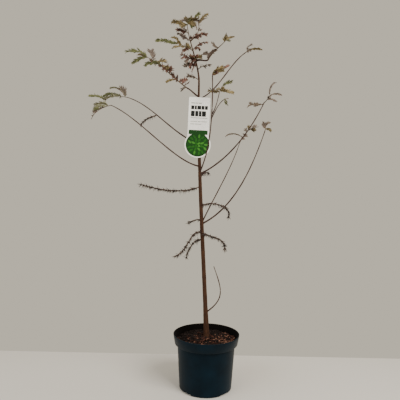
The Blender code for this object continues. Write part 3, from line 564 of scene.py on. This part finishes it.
def chip_material(name, code):
    """Composted bark: a dark damp flake with a fibrous grain, matte."""
    made, tree, shader = new_material(name, 0.9, 0.2)
    place = add_node(tree, "ShaderNodeTexCoord")
    fibre = add_node(tree, "ShaderNodeTexNoise", {"Scale": 600.0, "Detail": 3.0}, {"Vector": place.outputs["Object"]})
    colour = linear(code)
    base = colour_ramp(tree, fibre.outputs["Fac"], [(0.35, shade(colour, 0.55)), (0.65, shade(colour, 1.3))])
    tree.links.new(base, shader.inputs["Base Color"])
    bump = add_node(tree, "ShaderNodeBump", {"Strength": 0.5, "Distance": 0.0004}, {"Height": fibre.outputs["Fac"]})
    tree.links.new(bump.outputs["Normal"], shader.inputs["Normal"])
    return made


class Shape:
    """Points and faces gathered for one joined mesh."""

    def __init__(self):
        self.points = []
        self.faces = []
        self.shades = []

    def add(self, points, faces, which=0):
        """Adds a small solid or blade, in one of the mesh's materials."""
        base = len(self.points)
        self.points.extend(points)
        self.faces.extend(tuple(base + k for k in face) for face in faces)
        self.shades.extend([which] * len(faces))

    def tube(self, points, radii, sides, which=0):
        """A closed tapering tube along points."""
        made, faces = [], []
        for point, travel, radius in zip(points, directions(points), radii):
            across, up = sides_of(travel)
            for k in range(sides):
                angle = math.tau * k / sides
                made.append(point + radius * (math.cos(angle) * across + math.sin(angle) * up))
        for i in range(len(points) - 1):
            low, high = i * sides, (i + 1) * sides
            for k in range(sides):
                following = (k + 1) % sides
                faces.append((low + k, low + following, high + following, high + k))
        faces.append(tuple(reversed(range(sides))))
        faces.append(tuple(range((len(points) - 1) * sides, len(points) * sides)))
        self.add(made, faces, which)

    def build(self, name, materials, smooth=True):
        """The gathered shape as an object in the scene that rides on the plant."""
        mesh = bpy.data.meshes.new(name)
        mesh.from_pydata(self.points, [], self.faces)
        for made in materials:
            mesh.materials.append(made)
        mesh.polygons.foreach_set("material_index", self.shades)
        mesh.polygons.foreach_set("use_smooth", [smooth] * len(self.faces))
        mesh.update()
        piece = bpy.data.objects.new(name, mesh)
        bpy.context.scene.collection.objects.link(piece)
        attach(piece, ROOT)
        return piece


def sides_of(travel):
    """Two directions across a direction of travel, the first of them level."""
    across = travel.cross(Vector((0.0, 0.0, 1.0)))
    across = across.normalized() if across.length > 0.05 else Vector((1.0, 0.0, 0.0))
    return across, across.cross(travel).normalized()


def arc_points(start, arc, count):
    """Points along an arc from its start, evenly spaced in its own measure."""
    heading, leave, arrive = (math.radians(a) for a in (arc.heading, arc.leave, arc.arrive))
    reach, climb = arc.reach * MM, arc.climb * MM
    strength = arc.pull * math.hypot(reach, climb)
    points = []
    for i in range(count):
        t = i / (count - 1)
        first = strength * (t**3 - 2 * t**2 + t)
        last = strength * (t**3 - t**2)
        whole = 3 * t**2 - 2 * t**3
        out = whole * reach + first * math.cos(leave) + last * math.cos(arrive)
        up = whole * climb + first * math.sin(leave) + last * math.sin(arrive)
        points.append(start + Vector((out * math.cos(heading), out * math.sin(heading), up)))
    return points


def line_length(points):
    """The length of a line of points."""
    return sum((b - a).length for a, b in zip(points, points[1:]))


def along(points, share):
    """The point at a share of the way along a list of points."""
    place = min(max(share, 0.0), 1.0) * (len(points) - 1)
    i = min(int(place), len(points) - 2)
    return points[i].lerp(points[i + 1], place - i)


def directions(points):
    """The direction of travel at each point."""
    ends = [points[0], *points, points[-1]]
    return [(ends[i + 2] - ends[i]).normalized() for i in range(len(points))]


def trunk_radius(height):
    """The trunk's radius at a height above the compost, with the swollen butt and the flare at its foot."""
    share = min(height / TRUNK_HEIGHT, 1.0)
    slim = TRUNK_TIP_RADIUS + (TRUNK_BASE_RADIUS - TRUNK_TIP_RADIUS) * (1 - share**TRUNK_TAPER)
    butt = SWELL * math.exp(-((height / SWELL_HEIGHT) ** 2)) + FLARE * math.exp(-height / FLARE_HEIGHT)
    return slim + butt


def trunk_line(count):
    """The trunk's centre line, listed evenly by height."""
    foot = Vector((TRUNK_FOOT_X, 0.0, GROUND + GAP))
    stem = arc_points(foot, STEM, 60)
    leader = arc_points(stem[-1], LEADER, 24)
    points = [*stem, *leader[1:]]
    line, upper = [], 1
    for i in range(count):
        height = foot.z + (points[-1].z - foot.z) * i / (count - 1)
        while upper < len(points) - 1 and points[upper].z < height:
            upper += 1
        low, high = points[upper - 1], points[upper]
        line.append(low.lerp(high, (height - low.z) / (high.z - low.z)))
    return line


def limb_lines():
    """The centre line of the trunk and of each bough."""
    lines = {"trunk": trunk_line(101)}
    for name, limb in LIMBS.items():
        start = along(lines[limb.carrier], limb.share)
        lines[name] = arc_points(start, limb.arc, 40)
    return lines


def tuft_sprays(tuft, dice):
    """A fan of short sprays about one place on the stem."""
    sprays = []
    for k in range(tuft.count):
        spot = k / max(tuft.count - 1, 1) - 0.5
        heading = tuft.heading + tuft.fan * spot + dice.uniform(-8, 8)
        rise = math.radians(tuft.rise + dice.uniform(-12, 12))
        length = tuft.length * dice.uniform(0.85, 1.1)
        arc = Arc(
            heading,
            length * math.cos(rise),
            length * math.sin(rise),
            math.degrees(rise) + 18,
            math.degrees(rise) - 22,
        )
        share = min(max(tuft.share + 0.06 * (k - tuft.count / 2), 0.02), 1.0)
        sprays.append(Spray(share, arc, tuft.width))
    return sprays


def side_sprays(arc, count, dice, length=15.0):
    """Small sprays that branch from a stem to either side in turn, shorter towards its tip."""
    sprays = []
    for k in range(count):
        share = 0.2 + 0.75 * (k + 0.5) / count
        side = 1 if k % 2 else -1
        heading = arc.heading + side * dice.uniform(40, 75)
        long = length * (1.1 - 0.45 * share) * dice.uniform(0.85, 1.15)
        rise = math.radians(dice.uniform(-15, 25))
        shape = Arc(heading, long * math.cos(rise), long * math.sin(rise), math.degrees(rise) + 15, -25)
        sprays.append(Spray(share, shape, dice.uniform(6, 8)))
    return sprays


def spray_roll(order):
    """How far a spray is turned about its own line, to either side in turn."""
    turn = math.radians(LEAST_ROLL + ROLL_STEP * order % ROLL_RANGE)
    return -turn if order % 2 else turn


def bark_tube(line, radius_at, sides, relief, seed):
    """A closed tube whose surface has strips of bark that run along it."""
    shape = Shape()
    points, faces = [], []
    for i, (point, travel) in enumerate(zip(line, directions(line))):
        across, up = sides_of(travel)
        share = i / (len(line) - 1)
        radius = radius_at(share)
        for k in range(sides):
            angle = math.tau * k / sides
            around = Vector((math.cos(angle) * 2.2, math.sin(angle) * 2.2, point.z * 30 + seed))
            strip = noise.noise(around * 1.7) + 0.5 * noise.noise(around * 4.1)
            reach = radius + relief * strip
            points.append(point + reach * (math.cos(angle) * across + math.sin(angle) * up))
    for i in range(len(line) - 1):
        low, high = i * sides, (i + 1) * sides
        for k in range(sides):
            following = (k + 1) % sides
            faces.append((low + k, low + following, high + following, high + k))
    faces.append(tuple(reversed(range(sides))))
    faces.append(tuple(range((len(line) - 1) * sides, len(line) * sides)))
    shape.add(points, faces)
    return shape


class CYPRESS_OT_trunk(bpy.types.Operator):
    """Grow the trunk's bark, with its flare and the fine strips of a young cypress"""

    bl_idname = "cypress.trunk"
    bl_label = "Trunk"

    def execute(self, context):
        line = trunk_line(560)
        relief = sizes().bark_relief

        def radius_at(share):
            return trunk_radius(share * TRUNK_HEIGHT) - relief * 0.4

        shape = bark_tube(line, radius_at, 28, relief, 0.0)
        piece = shape.build("trunk_bark", [bark_material("peeling_cypress_bark", colours().trunk_bark, 1.6)])
        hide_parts("trunk")
        return {"FINISHED"}


class CYPRESS_OT_boughs(bpy.types.Operator):
    """Grow each bough as one tapering limb with bark"""

    bl_idname = "cypress.boughs"
    bl_label = "Boughs"

    def execute(self, context):
        lines = limb_lines()
        bark = bark_material("smooth_young_bark", colours().bough_bark, 0.9)
        for seed, (name, limb) in enumerate(LIMBS.items()):
            line = lines[name]
            count = max(20, round(line_length(line) / 0.003))
            fine = [along(line, i / (count - 1)) for i in range(count)]
            foot, tip = limb.foot_diameter * MM / 2, limb.tip_diameter * MM / 2
            collar = 0.006 / line_length(line)

            def radius_at(share):
                swell = 0.35 * foot * math.exp(-share / collar)
                knots = 0.10 * tip * math.sin(share * count * 0.35)
                return foot + (tip - foot) * share + swell + knots

            shape = bark_tube(fine, radius_at, 10, 0.00012, 10.0 * seed + 5)
            piece = shape.build(name + "_bark", [bark])
            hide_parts(name)
        return {"FINISHED"}


def add_needle(shape, root, out, normal, length, width, which):
    """A flat narrow needle with a pointed tip, curving down a little."""
    across = out.cross(normal).normalized() * width / 2
    low = root + out * length * 0.15
    high = root + out * length * 0.7 - normal * length * 0.03
    tip = root + out * length - normal * length * 0.12
    shape.add(
        [root, low - across, low + across, high + across * 0.8, high - across * 0.8, tip],
        [(0, 2, 1), (1, 2, 3, 4), (4, 3, 5)],
        which,
    )


def add_spray(shape, start, spray, roll, dice, which):
    """A thin twig along an arc with two rows of needles, in small clumps that lean and fade together."""
    length = line_length(arc_points(start, spray.arc, 12))
    count = max(6, round(length / 0.002))
    line = arc_points(start, spray.arc, count)
    shape.tube(line, [0.0005 - 0.0003 * i / (count - 1) for i in range(count)], 3, which)
    pairs = max(4, round(length / sizes().needle_pitch))
    ways = directions(line)
    for side in (1, -1):
        left = 0
        for k in range(pairs):
            if left == 0:
                left = dice.randint(1, 4)
                stray = Vector(dice.uniform(-0.2, 0.2) for _ in range(3)) - Vector((0, 0, 0.12))
                reach = dice.uniform(0.75, 1.12)
                finish = which if dice.random() < 0.45 else dice.choice((0, 1, 2))
            left -= 1
            share = 0.05 + 0.88 * (k + 0.5) / pairs
            point, travel = along(line, share), along(ways, share).normalized()
            level, _ = sides_of(travel)
            wide = Matrix.Rotation(roll, 3, travel) @ level
            swell = math.sin(math.pi * (0.14 + 0.76 * share))
            lean = math.radians(48 - 20 * share)
            out = travel * math.cos(lean) + wide * side * math.sin(lean)
            out = (out + stray + Vector(dice.uniform(-0.08, 0.08) for _ in range(3))).normalized()
            normal = out.cross(travel).normalized() * -side
            half = (0.5 * spray.width + 1.6) * MM * swell
            long = half / math.sin(lean) * reach * dice.uniform(0.92, 1.08)
            add_needle(shape, point, out, normal, long, sizes().needle_width * (0.75 + 25 * long), finish)


def mass_sprays(mass, dice):
    """Each spray of a mass with its tint: the known ones, the tufts, then the rule's side sprays."""
    tints = list(mass.tints)
    tinted = [(spray, tints.pop(0)) for spray in mass.sprays]
    for tuft in mass.tufts:
        tint = tints.pop(0)
        tinted += [(spray, tint) for spray in tuft_sprays(tuft, dice)]
    rest = tints.pop(0)
    tinted += [(spray, rest) for spray in side_sprays(mass.arc, mass.fill, dice)]
    return tinted, rest


class CYPRESS_OT_needles(bpy.types.Operator):
    """Grow every mass of needles by its rule, and join the sprays of each tint"""

    bl_idname = "cypress.needles"
    bl_label = "Needles"

    def execute(self, context):
        lines = limb_lines()
        shapes = {tint: Shape() for tint in TINTS}
        twigs = Shape()
        for name, mass in MASSES.items():
            dice = random.Random(f"{SEED} {name}")
            start = along(lines[mass.carrier], mass.share)
            stem = arc_points(start, mass.arc, 24)
            thick = TWIG_RADIUS
            if mass.share > 0.99 and mass.carrier in LIMBS:
                thick = 0.9 * LIMBS[mass.carrier].tip_diameter * MM / 2
            twigs.tube(stem, [thick + (TWIG_TIP_RADIUS - thick) * i / 23 for i in range(24)], 6)
            tinted, rest = mass_sprays(mass, dice)
            tinted += [(spray, rest) for spray in side_sprays(mass.arc, 4 * mass.fill, dice, 10.0)]
            for i, (spray, tint) in enumerate(tinted):
                which = dice.choice((0, 1, 1, 2))
                add_spray(shapes[tint], along(stem, spray.share), spray, spray_roll(i), dice, which)
        bark = bark_material("green_twig_bark", linear("463524"), 0.8)
        piece = twigs.build("foliage_twigs", [bark])
        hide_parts(*MASSES)
        for tint, (word, shades) in TINTS.items():
            finishes = [needle_material(f"{word}_needle_{i + 1}", code) for i, code in enumerate(shades)]
            piece = shapes[tint].build("needles_" + word, finishes)
        return {"FINISHED"}


def add_hair(shape, root, out, length, width, dice, which):
    """A dried needle: a thin strip that curls as it goes."""
    across = out.cross(Vector((dice.uniform(-1, 1), dice.uniform(-1, 1), 0.3))).normalized()
    bend = Vector((dice.uniform(-0.7, 0.7), dice.uniform(-0.7, 0.7), dice.uniform(-1.4, 0.1)))
    points, faces = [], []
    place, way = root, out
    for i in range(4):
        half = across * width * 0.5 * (1 - i / 4)
        points += [place - half, place + half]
        way = (way + bend * 0.35).normalized()
        place = place + way * length / 4
    points.append(place)
    for i in range(3):
        faces.append((2 * i, 2 * i + 1, 2 * i + 3, 2 * i + 2))
    faces.append((6, 7, 8))
    shape.add(points, faces, which)


class CYPRESS_OT_dried_shoots(bpy.types.Operator):
    """Grow the wilted shoots, whose needles have dried to curled hairs"""

    bl_idname = "cypress.dried_shoots"
    bl_label = "Dried shoots"

    def execute(self, context):
        lines = limb_lines()
        hairs, twigs = Shape(), Shape()
        for name, shoot in SHOOTS.items():
            dice = random.Random(f"{SEED} {name}")
            start = along(lines[shoot.carrier], shoot.share)
            stem = arc_points(start, shoot.arc, 30)
            twigs.tube(stem, [SHOOT_RADIUS * (1.25 - 0.6 * i / 29) for i in range(30)], 6)
            ways = directions(stem)
            count = round(line_length(stem) / 0.0005)
            left = 0
            for k in range(count):
                if left == 0:
                    left = dice.randint(4, 22)
                    spread = dice.choice((0.35, 0.5, 0.8, 1.2, 1.5))
                left -= 1
                share = 0.04 + 0.96 * (k + 0.5) / count
                travel = along(ways, share).normalized()
                level, rise = sides_of(travel)
                turn = k * 2.4 + dice.uniform(-0.5, 0.5)
                lean = spread * dice.uniform(0.5, 1.3)
                round_it = level * math.cos(turn) + rise * math.sin(turn)
                out = travel * math.cos(lean) + round_it * math.sin(lean)
                long = dice.uniform(6, 15) * MM
                add_hair(hairs, along(stem, share), out, long, 0.0027, dice, dice.choice((0, 0, 1, 2)))
        bark = bark_material("dried_shoot_bark", linear("4a322a"), 0.8)
        piece = twigs.build("dried_shoot_twigs", [bark])
        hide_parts(*SHOOTS)
        finishes = [needle_material(f"dried_needle_{i + 1}", code) for i, code in enumerate(DRIED)]
        piece = hairs.build("dried_needles", finishes)
        return {"FINISHED"}


def pot_profile():
    """The pot's outer side from the rim down, then its inner side back up: radius, height, height in a notch."""
    wall = POT_WALL
    notch_edge = POT_BASE_RADIUS - DRAIN_DEPTH
    lifted = DRAIN_HEIGHT + wall
    plain = [
        (RIM_RADIUS - RIM_ROUND / 2, POT_HEIGHT),
        (RIM_RADIUS, POT_HEIGHT - RIM_ROUND),
        (RIM_RADIUS - RIM_ROUND / 2, POT_HEIGHT - 5 * RIM_ROUND),
        (LIP_FOOT_RADIUS, LIP_FOOT_HEIGHT),
        (LIP_FOOT_RADIUS - LIP_ROUND, LIP_FOOT_HEIGHT - LIP_ROUND),
        (POT_SHOULDER_RADIUS, POT_SHOULDER_HEIGHT),
    ]
    base = [
        (POT_BASE_RADIUS, POT_CHAMFER, DRAIN_HEIGHT),
        (POT_BASE_RADIUS - POT_CHAMFER, 0.0, DRAIN_HEIGHT),
        (notch_edge, 0.0, DRAIN_HEIGHT),
        (notch_edge - wall, 0.0, 0.0),
        (0.0, 0.0, 0.0),
        (0.0, POT_FLOOR, POT_FLOOR),
        (notch_edge - 2 * wall, POT_FLOOR, POT_FLOOR),
        (notch_edge, POT_FLOOR, lifted),
        (POT_BASE_RADIUS - wall, POT_FLOOR + wall, lifted),
    ]
    inside = [
        (POT_SHOULDER_RADIUS - wall, POT_SHOULDER_HEIGHT + wall),
        (LIP_FOOT_RADIUS - wall, LIP_FOOT_HEIGHT + wall),
        (RIM_RADIUS - wall, POT_HEIGHT),
    ]
    return [*((r, z, z) for r, z in plain), *base, *((r, z, z) for r, z in inside)]


def turned_pot():
    """The pot's closed surface, turned from its profile, with a drainage notch between each two feet."""
    points, rings, faces, shades = [], [], [], []
    profile = pot_profile()
    for radius, height, raised in profile:
        steps = POT_STEPS if radius > 0 else 1
        rings.append(range(len(points), len(points) + steps))
        for k in range(steps):
            angle = math.tau * k / steps
            from_notch = abs(angle * DRAIN_COUNT / math.tau % 1.0 - 0.5) * math.tau / DRAIN_COUNT
            z = raised if from_notch * POT_BASE_RADIUS < DRAIN_WIDTH / 2 else height
            points.append(Vector((radius * math.cos(angle), radius * math.sin(angle), z)))
    for i, (lower, upper) in enumerate(zip(rings, [*rings[1:], rings[0]])):
        for k in range(POT_STEPS):
            following = (k + 1) % POT_STEPS
            if len(lower) == 1 and len(upper) == 1:
                break
            if len(upper) == 1:
                faces.append((lower[following], lower[k], upper[0]))
            elif len(lower) == 1:
                faces.append((upper[k], upper[following], lower[0]))
            else:
                faces.append((lower[following], lower[k], upper[k], upper[following]))
        # The faces of the inner wall take the second material, whose near-black colour is painted shade
        inner = len(profile) - 4 <= i < len(profile) - 1
        shades += [int(inner)] * (len(faces) - len(shades))
    shape = Shape()
    shape.add(points, faces)
    shape.shades = shades
    return shape


class CYPRESS_OT_pot(bpy.types.Operator):
    """Turn the moulded nursery pot, with its lip, its feet and its drainage notches"""

    bl_idname = "cypress.pot"
    bl_label = "Pot"

    def execute(self, context):
        plastic = plastic_material("moulded_polypropylene", colours().pot_plastic, 0.42, 0.5, 0.6, 0.06)
        # The inner wall gets a near-black copy of the plastic: painted shade, as the inside of the pot lies in shadow
        painted_shade_inside = plastic_material("inner_wall_painted_shade", linear("080504"), 0.6, 0.5, 0.3, 0.04)
        piece = turned_pot().build("nursery_pot", [plastic, painted_shade_inside])
        piece.data.set_sharp_from_angle(angle=math.radians(35))
        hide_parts("pot")
        return {"FINISHED"}


def compost_height(radius):
    """The height of the mound of compost at a distance from the middle of the pot."""
    edge = LIP_FOOT_RADIUS - POT_WALL
    share = min(max((radius - STEM_SEAT_RADIUS) / (edge - STEM_SEAT_RADIUS), 0.0), 1.0)
    return GROUND - (GROUND - COMPOST_EDGE_HEIGHT) * share**MOUND_SHAPE


def add_chip(shape, centre, length, dice, which):
    """A broken flake of bark: a flat five-sided slab with rough ends."""
    wide, thick = length * dice.uniform(0.35, 0.6), length * dice.uniform(0.12, 0.24)
    turn = Matrix.Rotation(dice.uniform(0, math.tau), 3, "Z")
    tip = Matrix.Rotation(dice.gauss(0, 0.35), 3, "X") @ Matrix.Rotation(dice.gauss(0, 0.3), 3, "Y")
    outline = [(-0.5, -0.35), (0.3, -0.5), (0.5, 0.1), (0.2, 0.5), (-0.42, 0.4)]
    points = []
    for level in (-0.5, 0.5):
        for x, y in outline:
            rough = 1 + dice.uniform(-0.18, 0.18)
            local = Vector((x * length * rough, y * wide * rough, level * thick * dice.uniform(0.7, 1.2)))
            points.append(centre + turn @ (tip @ local))
    faces = [(4, 3, 2, 1, 0), (5, 6, 7, 8, 9)]
    faces += [(k, (k + 1) % 5, 5 + (k + 1) % 5, 5 + k) for k in range(5)]
    shape.add(points, faces, which)


class CYPRESS_OT_compost(bpy.types.Operator):
    """Fill the pot with dark compost and a loose layer of bark chips"""

    bl_idname = "cypress.compost"
    bl_label = "Compost"

    def execute(self, context):
        dice = random.Random(f"{SEED} compost")
        edge = LIP_FOOT_RADIUS - POT_WALL - 0.0012
        bed = Shape()
        rings, steps = 26, 72
        points, faces = [Vector((0.0, 0.0, GROUND - 0.001))], []
        for i in range(1, rings + 1):
            radius = edge * i / rings
            for k in range(steps):
                angle = math.tau * k / steps
                x, y = radius * math.cos(angle), radius * math.sin(angle)
                rough = 0.0012 * noise.noise(Vector((x, y, 0.0)) * 150) - 0.0008
                points.append(Vector((x, y, compost_height(radius) + rough)))
        for k in range(steps):
            faces.append((0, 1 + k, 1 + (k + 1) % steps))
        for i in range(rings - 1):
            low, high = 1 + i * steps, 1 + (i + 1) * steps
            for k in range(steps):
                following = (k + 1) % steps
                faces.append((low + k, high + k, high + following, low + following))
        bed.add(points, faces)
        piece = bed.build("compost_bed", [chip_material("damp_fines", "110907")])
        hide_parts("compost")
        chips = Shape()
        for _ in range(sizes().chip_count):
            length = sizes().chip_length * dice.choice((0.45, 0.6, 0.8, 1.0, 1.3))
            radius = (edge - 0.6 * length) * math.sqrt(dice.random())
            angle = dice.uniform(0, math.tau)
            if radius < trunk_radius(0.0) + 0.4 * length:
                continue
            x, y = radius * math.cos(angle), radius * math.sin(angle)
            lift = dice.uniform(-0.0005, 0.0022)
            which = dice.choice((0, 0, 0, 1, 1, 1, 2, 3))
            # Chips towards the back left all take the darkest shade: painted shade, the shadow of the pot's wall over
            # that side of the compost
            if 0.5 * (y - 0.6 * x) / edge + dice.uniform(-0.3, 0.3) > 0.05:
                which = 1
            add_chip(chips, Vector((x, y, compost_height(radius) + lift)), length, dice, which)
        shades = ("331a12", "170c09", "482a1d", "775443")
        finishes = [chip_material(f"bark_chip_{i + 1}", code) for i, code in enumerate(shades)]
        piece = chips.build("bark_chips", finishes, smooth=False)
        return {"FINISHED"}


def label_place():
    """The label's own frame: its origin at the middle of its top edge, Z down its face and Y out of it."""
    line = trunk_line(101)
    hang = LABEL_TOP - LOOP_DROP
    axis = along(line, (hang - GROUND - GAP) / TRUNK_HEIGHT)
    around = trunk_radius(axis.z - GROUND)
    loop_y = -(LOOP_RADIUS - LOOP_WIRE - around - 1.5 * GAP)
    tilt = Matrix.Rotation(LABEL_LEAN, 4, "Y") @ Matrix.Rotation(math.pi / 2, 4, "X")
    face = Matrix.Translation((axis.x + LABEL_SIDE, loop_y - LOOP_RADIUS, LABEL_TOP)) @ tilt
    return face, Vector((axis.x, loop_y, axis.z))


def flat_piece(name, outline, lift, thick, finish, face):
    """A thin flat solid on the label, from an outline in the card's own plane."""
    count = len(outline)
    shape = Shape()
    points = [face @ Vector((x, y, lift + z)) for z in (0.0, thick) for x, y in outline]
    faces = [tuple(reversed(range(count))), tuple(range(count, 2 * count))]
    faces += [(k, (k + 1) % count, count + (k + 1) % count, count + k) for k in range(count)]
    shape.add(points, faces)
    piece = shape.build(name, [finish], smooth=False)
    return piece


def box_outline(left, right, low, high):
    """The corners of a box in the card's plane."""
    return [(left, low), (right, low), (right, high), (left, high)]


def ring_outline(centre, radius, steps, start=0.0, sweep=math.tau):
    """Points on a circle, or on a part of one."""
    last = steps if sweep >= math.tau - 1e-6 else steps - 1
    return [
        (
            centre[0] + radius * math.cos(start + sweep * k / last),
            centre[1] + radius * math.sin(start + sweep * k / last),
        )
        for k in range(steps)
    ]


def leaf_outline(centre, length, width, turn):
    """A pointed oval leaf."""
    points = []
    for k in range(12):
        angle = math.tau * k / 12
        x = 0.5 * length * math.cos(angle)
        y = 0.5 * width * math.sin(angle) * (1 - 0.35 * math.cos(angle) ** 2)
        points.append((
            centre[0] + x * math.cos(turn) - y * math.sin(turn),
            centre[1] + x * math.sin(turn) + y * math.cos(turn),
        ))
    return points


class CYPRESS_OT_label(bpy.types.Operator):
    """Hang the care label: a white card with plain bars, a green band and a disc of leaves"""

    bl_idname = "cypress.label"
    bl_label = "Care label"

    def execute(self, context):
        face, hook = label_place()
        card = plastic_material("coated_card", colours().label_card, 0.42, 0.4, 0.04, 0.4)
        green = plastic_material("printed_green", colours().label_green, 0.4, 0.4, 0.25, 0.2)
        leaf = plastic_material("printed_leaf_green", linear("174f0e"), 0.4, 0.4, 0.35, 0.2)
        pale = plastic_material("printed_pale_green", linear("346c20"), 0.4, 0.4, 0.3, 0.2)
        black = plastic_material("printed_black", linear("0e100f"), 0.45, 0.4, 0.1, 0.2)
        grey = plastic_material("printed_grey", linear("767b70"), 0.45, 0.4, 0.1)
        half, disc = LABEL_WIDTH / 2, LABEL_DISC_RADIUS
        middle = (0.0, -(LABEL_LENGTH - disc))
        meet = math.asin(half / disc)
        corner = 0.003
        outline = [(half - corner, 0.0)]
        outline += ring_outline((-half + corner, -corner), corner, 5, math.pi / 2, math.pi / 2)
        outline += ring_outline(middle, disc, 60, math.pi / 2 + meet, math.tau - 2 * meet)
        outline += ring_outline((half - corner, -corner), corner, 5, 0.0, math.pi / 2)
        piece = flat_piece("label_card_face", outline[1:], -LABEL_THICK / 2, LABEL_THICK, card, face)
        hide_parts("label")
        top = LABEL_THICK / 2
        ink = 0.00008
        count = 0
        inks = {"black": black, "grey": grey}
        for low, high, blocks, finish in LABEL_ROWS:
            left = LABEL_PRINT_LEFT
            for width in blocks:
                count += 1
                box = box_outline(left, left + width, low, high)
                flat_piece(f"label_bar_{count}", box, top, ink, inks[finish], face)
                left += width + LABEL_PRINT_GAP
        band = half - LABEL_BAND_INSET
        flat_piece("label_band", box_outline(-band, band, -0.109, -0.096), top, ink, green, face)
        flat_piece("label_disc", ring_outline(middle, disc - 0.0035, 64), top, 2 * ink, green, face)
        dice = random.Random(f"{SEED} label")
        for ring, (count, radius, length) in enumerate(((13, 0.025, 0.013), (8, 0.014, 0.013), (4, 0.005, 0.011))):
            for k in range(count):
                turn = math.tau * k / count + 0.4 * ring + dice.uniform(-0.1, 0.1)
                spot = (middle[0] + radius * math.cos(turn), middle[1] + radius * math.sin(turn))
                shape = leaf_outline(spot, length, 0.0062, turn + dice.uniform(-0.5, 0.5))
                finish = leaf if k % 3 else pale
                flat_piece(f"label_leaf_{ring + 1}_{k + 1}", shape, top + 2 * ink, ink, finish, face)
        line = [
            hook + Vector((LOOP_RADIUS * math.cos(math.tau * k / 40), LOOP_RADIUS * math.sin(math.tau * k / 40), 0.0))
            for k in range(41)
        ]
        loop = Shape()
        loop.tube(line, [LOOP_WIRE] * 41, 8)
        piece = loop.build("label_loop", [card])
        return {"FINISHED"}


def area_light(name, place, target, size, watts, tint):
    """A soft square light that faces a point."""
    lamp = bpy.data.lights.new(name, "AREA")
    lamp.size = size
    lamp.energy = watts
    lamp.color = tint
    holder = bpy.data.objects.new(name, lamp)
    holder.location = place
    holder.rotation_mode = "QUATERNION"
    holder.rotation_quaternion = (Vector(target) - Vector(place)).to_track_quat("-Z", "Y")
    bpy.context.scene.collection.objects.link(holder)


class CYPRESS_OT_stage(bpy.types.Operator):
    """Set the pale floor, the soft lights and the camera"""

    bl_idname = "cypress.stage"
    bl_label = "Stage"

    def execute(self, context):
        made, tree, shader = new_material("pale_painted_floor", 0.7)
        place = add_node(tree, "ShaderNodeTexCoord")
        cloud = add_node(tree, "ShaderNodeTexNoise", {"Scale": 3.0}, {"Vector": place.outputs["Object"]})
        tone = colour_ramp(tree, cloud.outputs["Fac"], [(0.3, linear("cfcac2")), (0.7, linear("d8d4cd"))])
        tree.links.new(tone, shader.inputs["Base Color"])
        bpy.ops.mesh.primitive_plane_add(size=1.0, location=(0.0, -1.0, -0.0002))
        floor = context.object
        floor.name = "floor"
        floor.scale = (5.0, 2.5, 1.0)
        floor.data.materials.append(made)
        world = bpy.data.worlds.new("soft_room")
        world.use_nodes = True
        background = world.node_tree.nodes["Background"]
        background.inputs["Color"].default_value = (*linear("cdc5b4"), 1.0)
        background.inputs["Strength"].default_value = 1.0
        context.scene.world = world
        area_light("window_light", (1.3, -1.5, 1.9), (0.0, 0.0, 0.5), 1.4, 74.0, (1.0, 0.97, 0.92))
        area_light("room_fill", (-1.6, -1.2, 1.2), (0.0, 0.0, 0.5), 1.8, 26.0, (0.95, 0.97, 1.0))
        lens = bpy.data.cameras.new("photo_camera")
        lens.lens = CAMERA_LENS
        lens.sensor_width = 36.0
        camera = bpy.data.objects.new("photo_camera", lens)
        context.scene.collection.objects.link(camera)
        upright = Matrix.Rotation(math.pi / 2 + CAMERA_PITCH, 4, "X")
        rolled = Matrix.Rotation(CAMERA_ROLL, 4, "Z")
        camera.matrix_world = Matrix.Translation(CAMERA_PLACE) @ upright @ rolled
        context.scene.camera = camera
        return {"FINISHED"}


ORDER = ("stage", "pot", "compost", "trunk", "boughs", "needles", "dried_shoots", "label")
OPERATORS = (
    CYPRESS_OT_stage, CYPRESS_OT_pot, CYPRESS_OT_compost, CYPRESS_OT_trunk, CYPRESS_OT_boughs,
    CYPRESS_OT_needles, CYPRESS_OT_dried_shoots, CYPRESS_OT_label,
)


class CYPRESS_PT_panel(bpy.types.Panel):
    """The tree's pieces, in the order in which they are made"""

    bl_label = "Bald Cypress"
    bl_idname = "CYPRESS_PT_panel"
    bl_space_type = "VIEW_3D"
    bl_region_type = "UI"
    bl_category = "Cypress"

    def draw(self, context):
        for group in (context.scene.cypress_sizes, context.scene.cypress_colours):
            for name in group.bl_rna.properties.keys():
                if name not in ("rna_type", "name"):
                    self.layout.prop(group, name)
        for name in ORDER:
            self.layout.operator("cypress." + name)


CLASSES = (CypressSizes, CypressColours, *OPERATORS, CYPRESS_PT_panel)


def register():
    """Registers the classes and the scene's settings."""
    for item in CLASSES:
        bpy.utils.register_class(item)
    bpy.types.Scene.cypress_sizes = PointerProperty(type=CypressSizes)
    bpy.types.Scene.cypress_colours = PointerProperty(type=CypressColours)


def unregister():
    """Takes the classes and the scene's settings away again."""
    del bpy.types.Scene.cypress_colours
    del bpy.types.Scene.cypress_sizes
    for item in reversed(CLASSES):
        bpy.utils.unregister_class(item)


def main():
    """Makes every piece in order."""
    register()
    for name in ORDER:
        getattr(bpy.ops.cypress, name)()


if __name__ == "__main__":
    main()
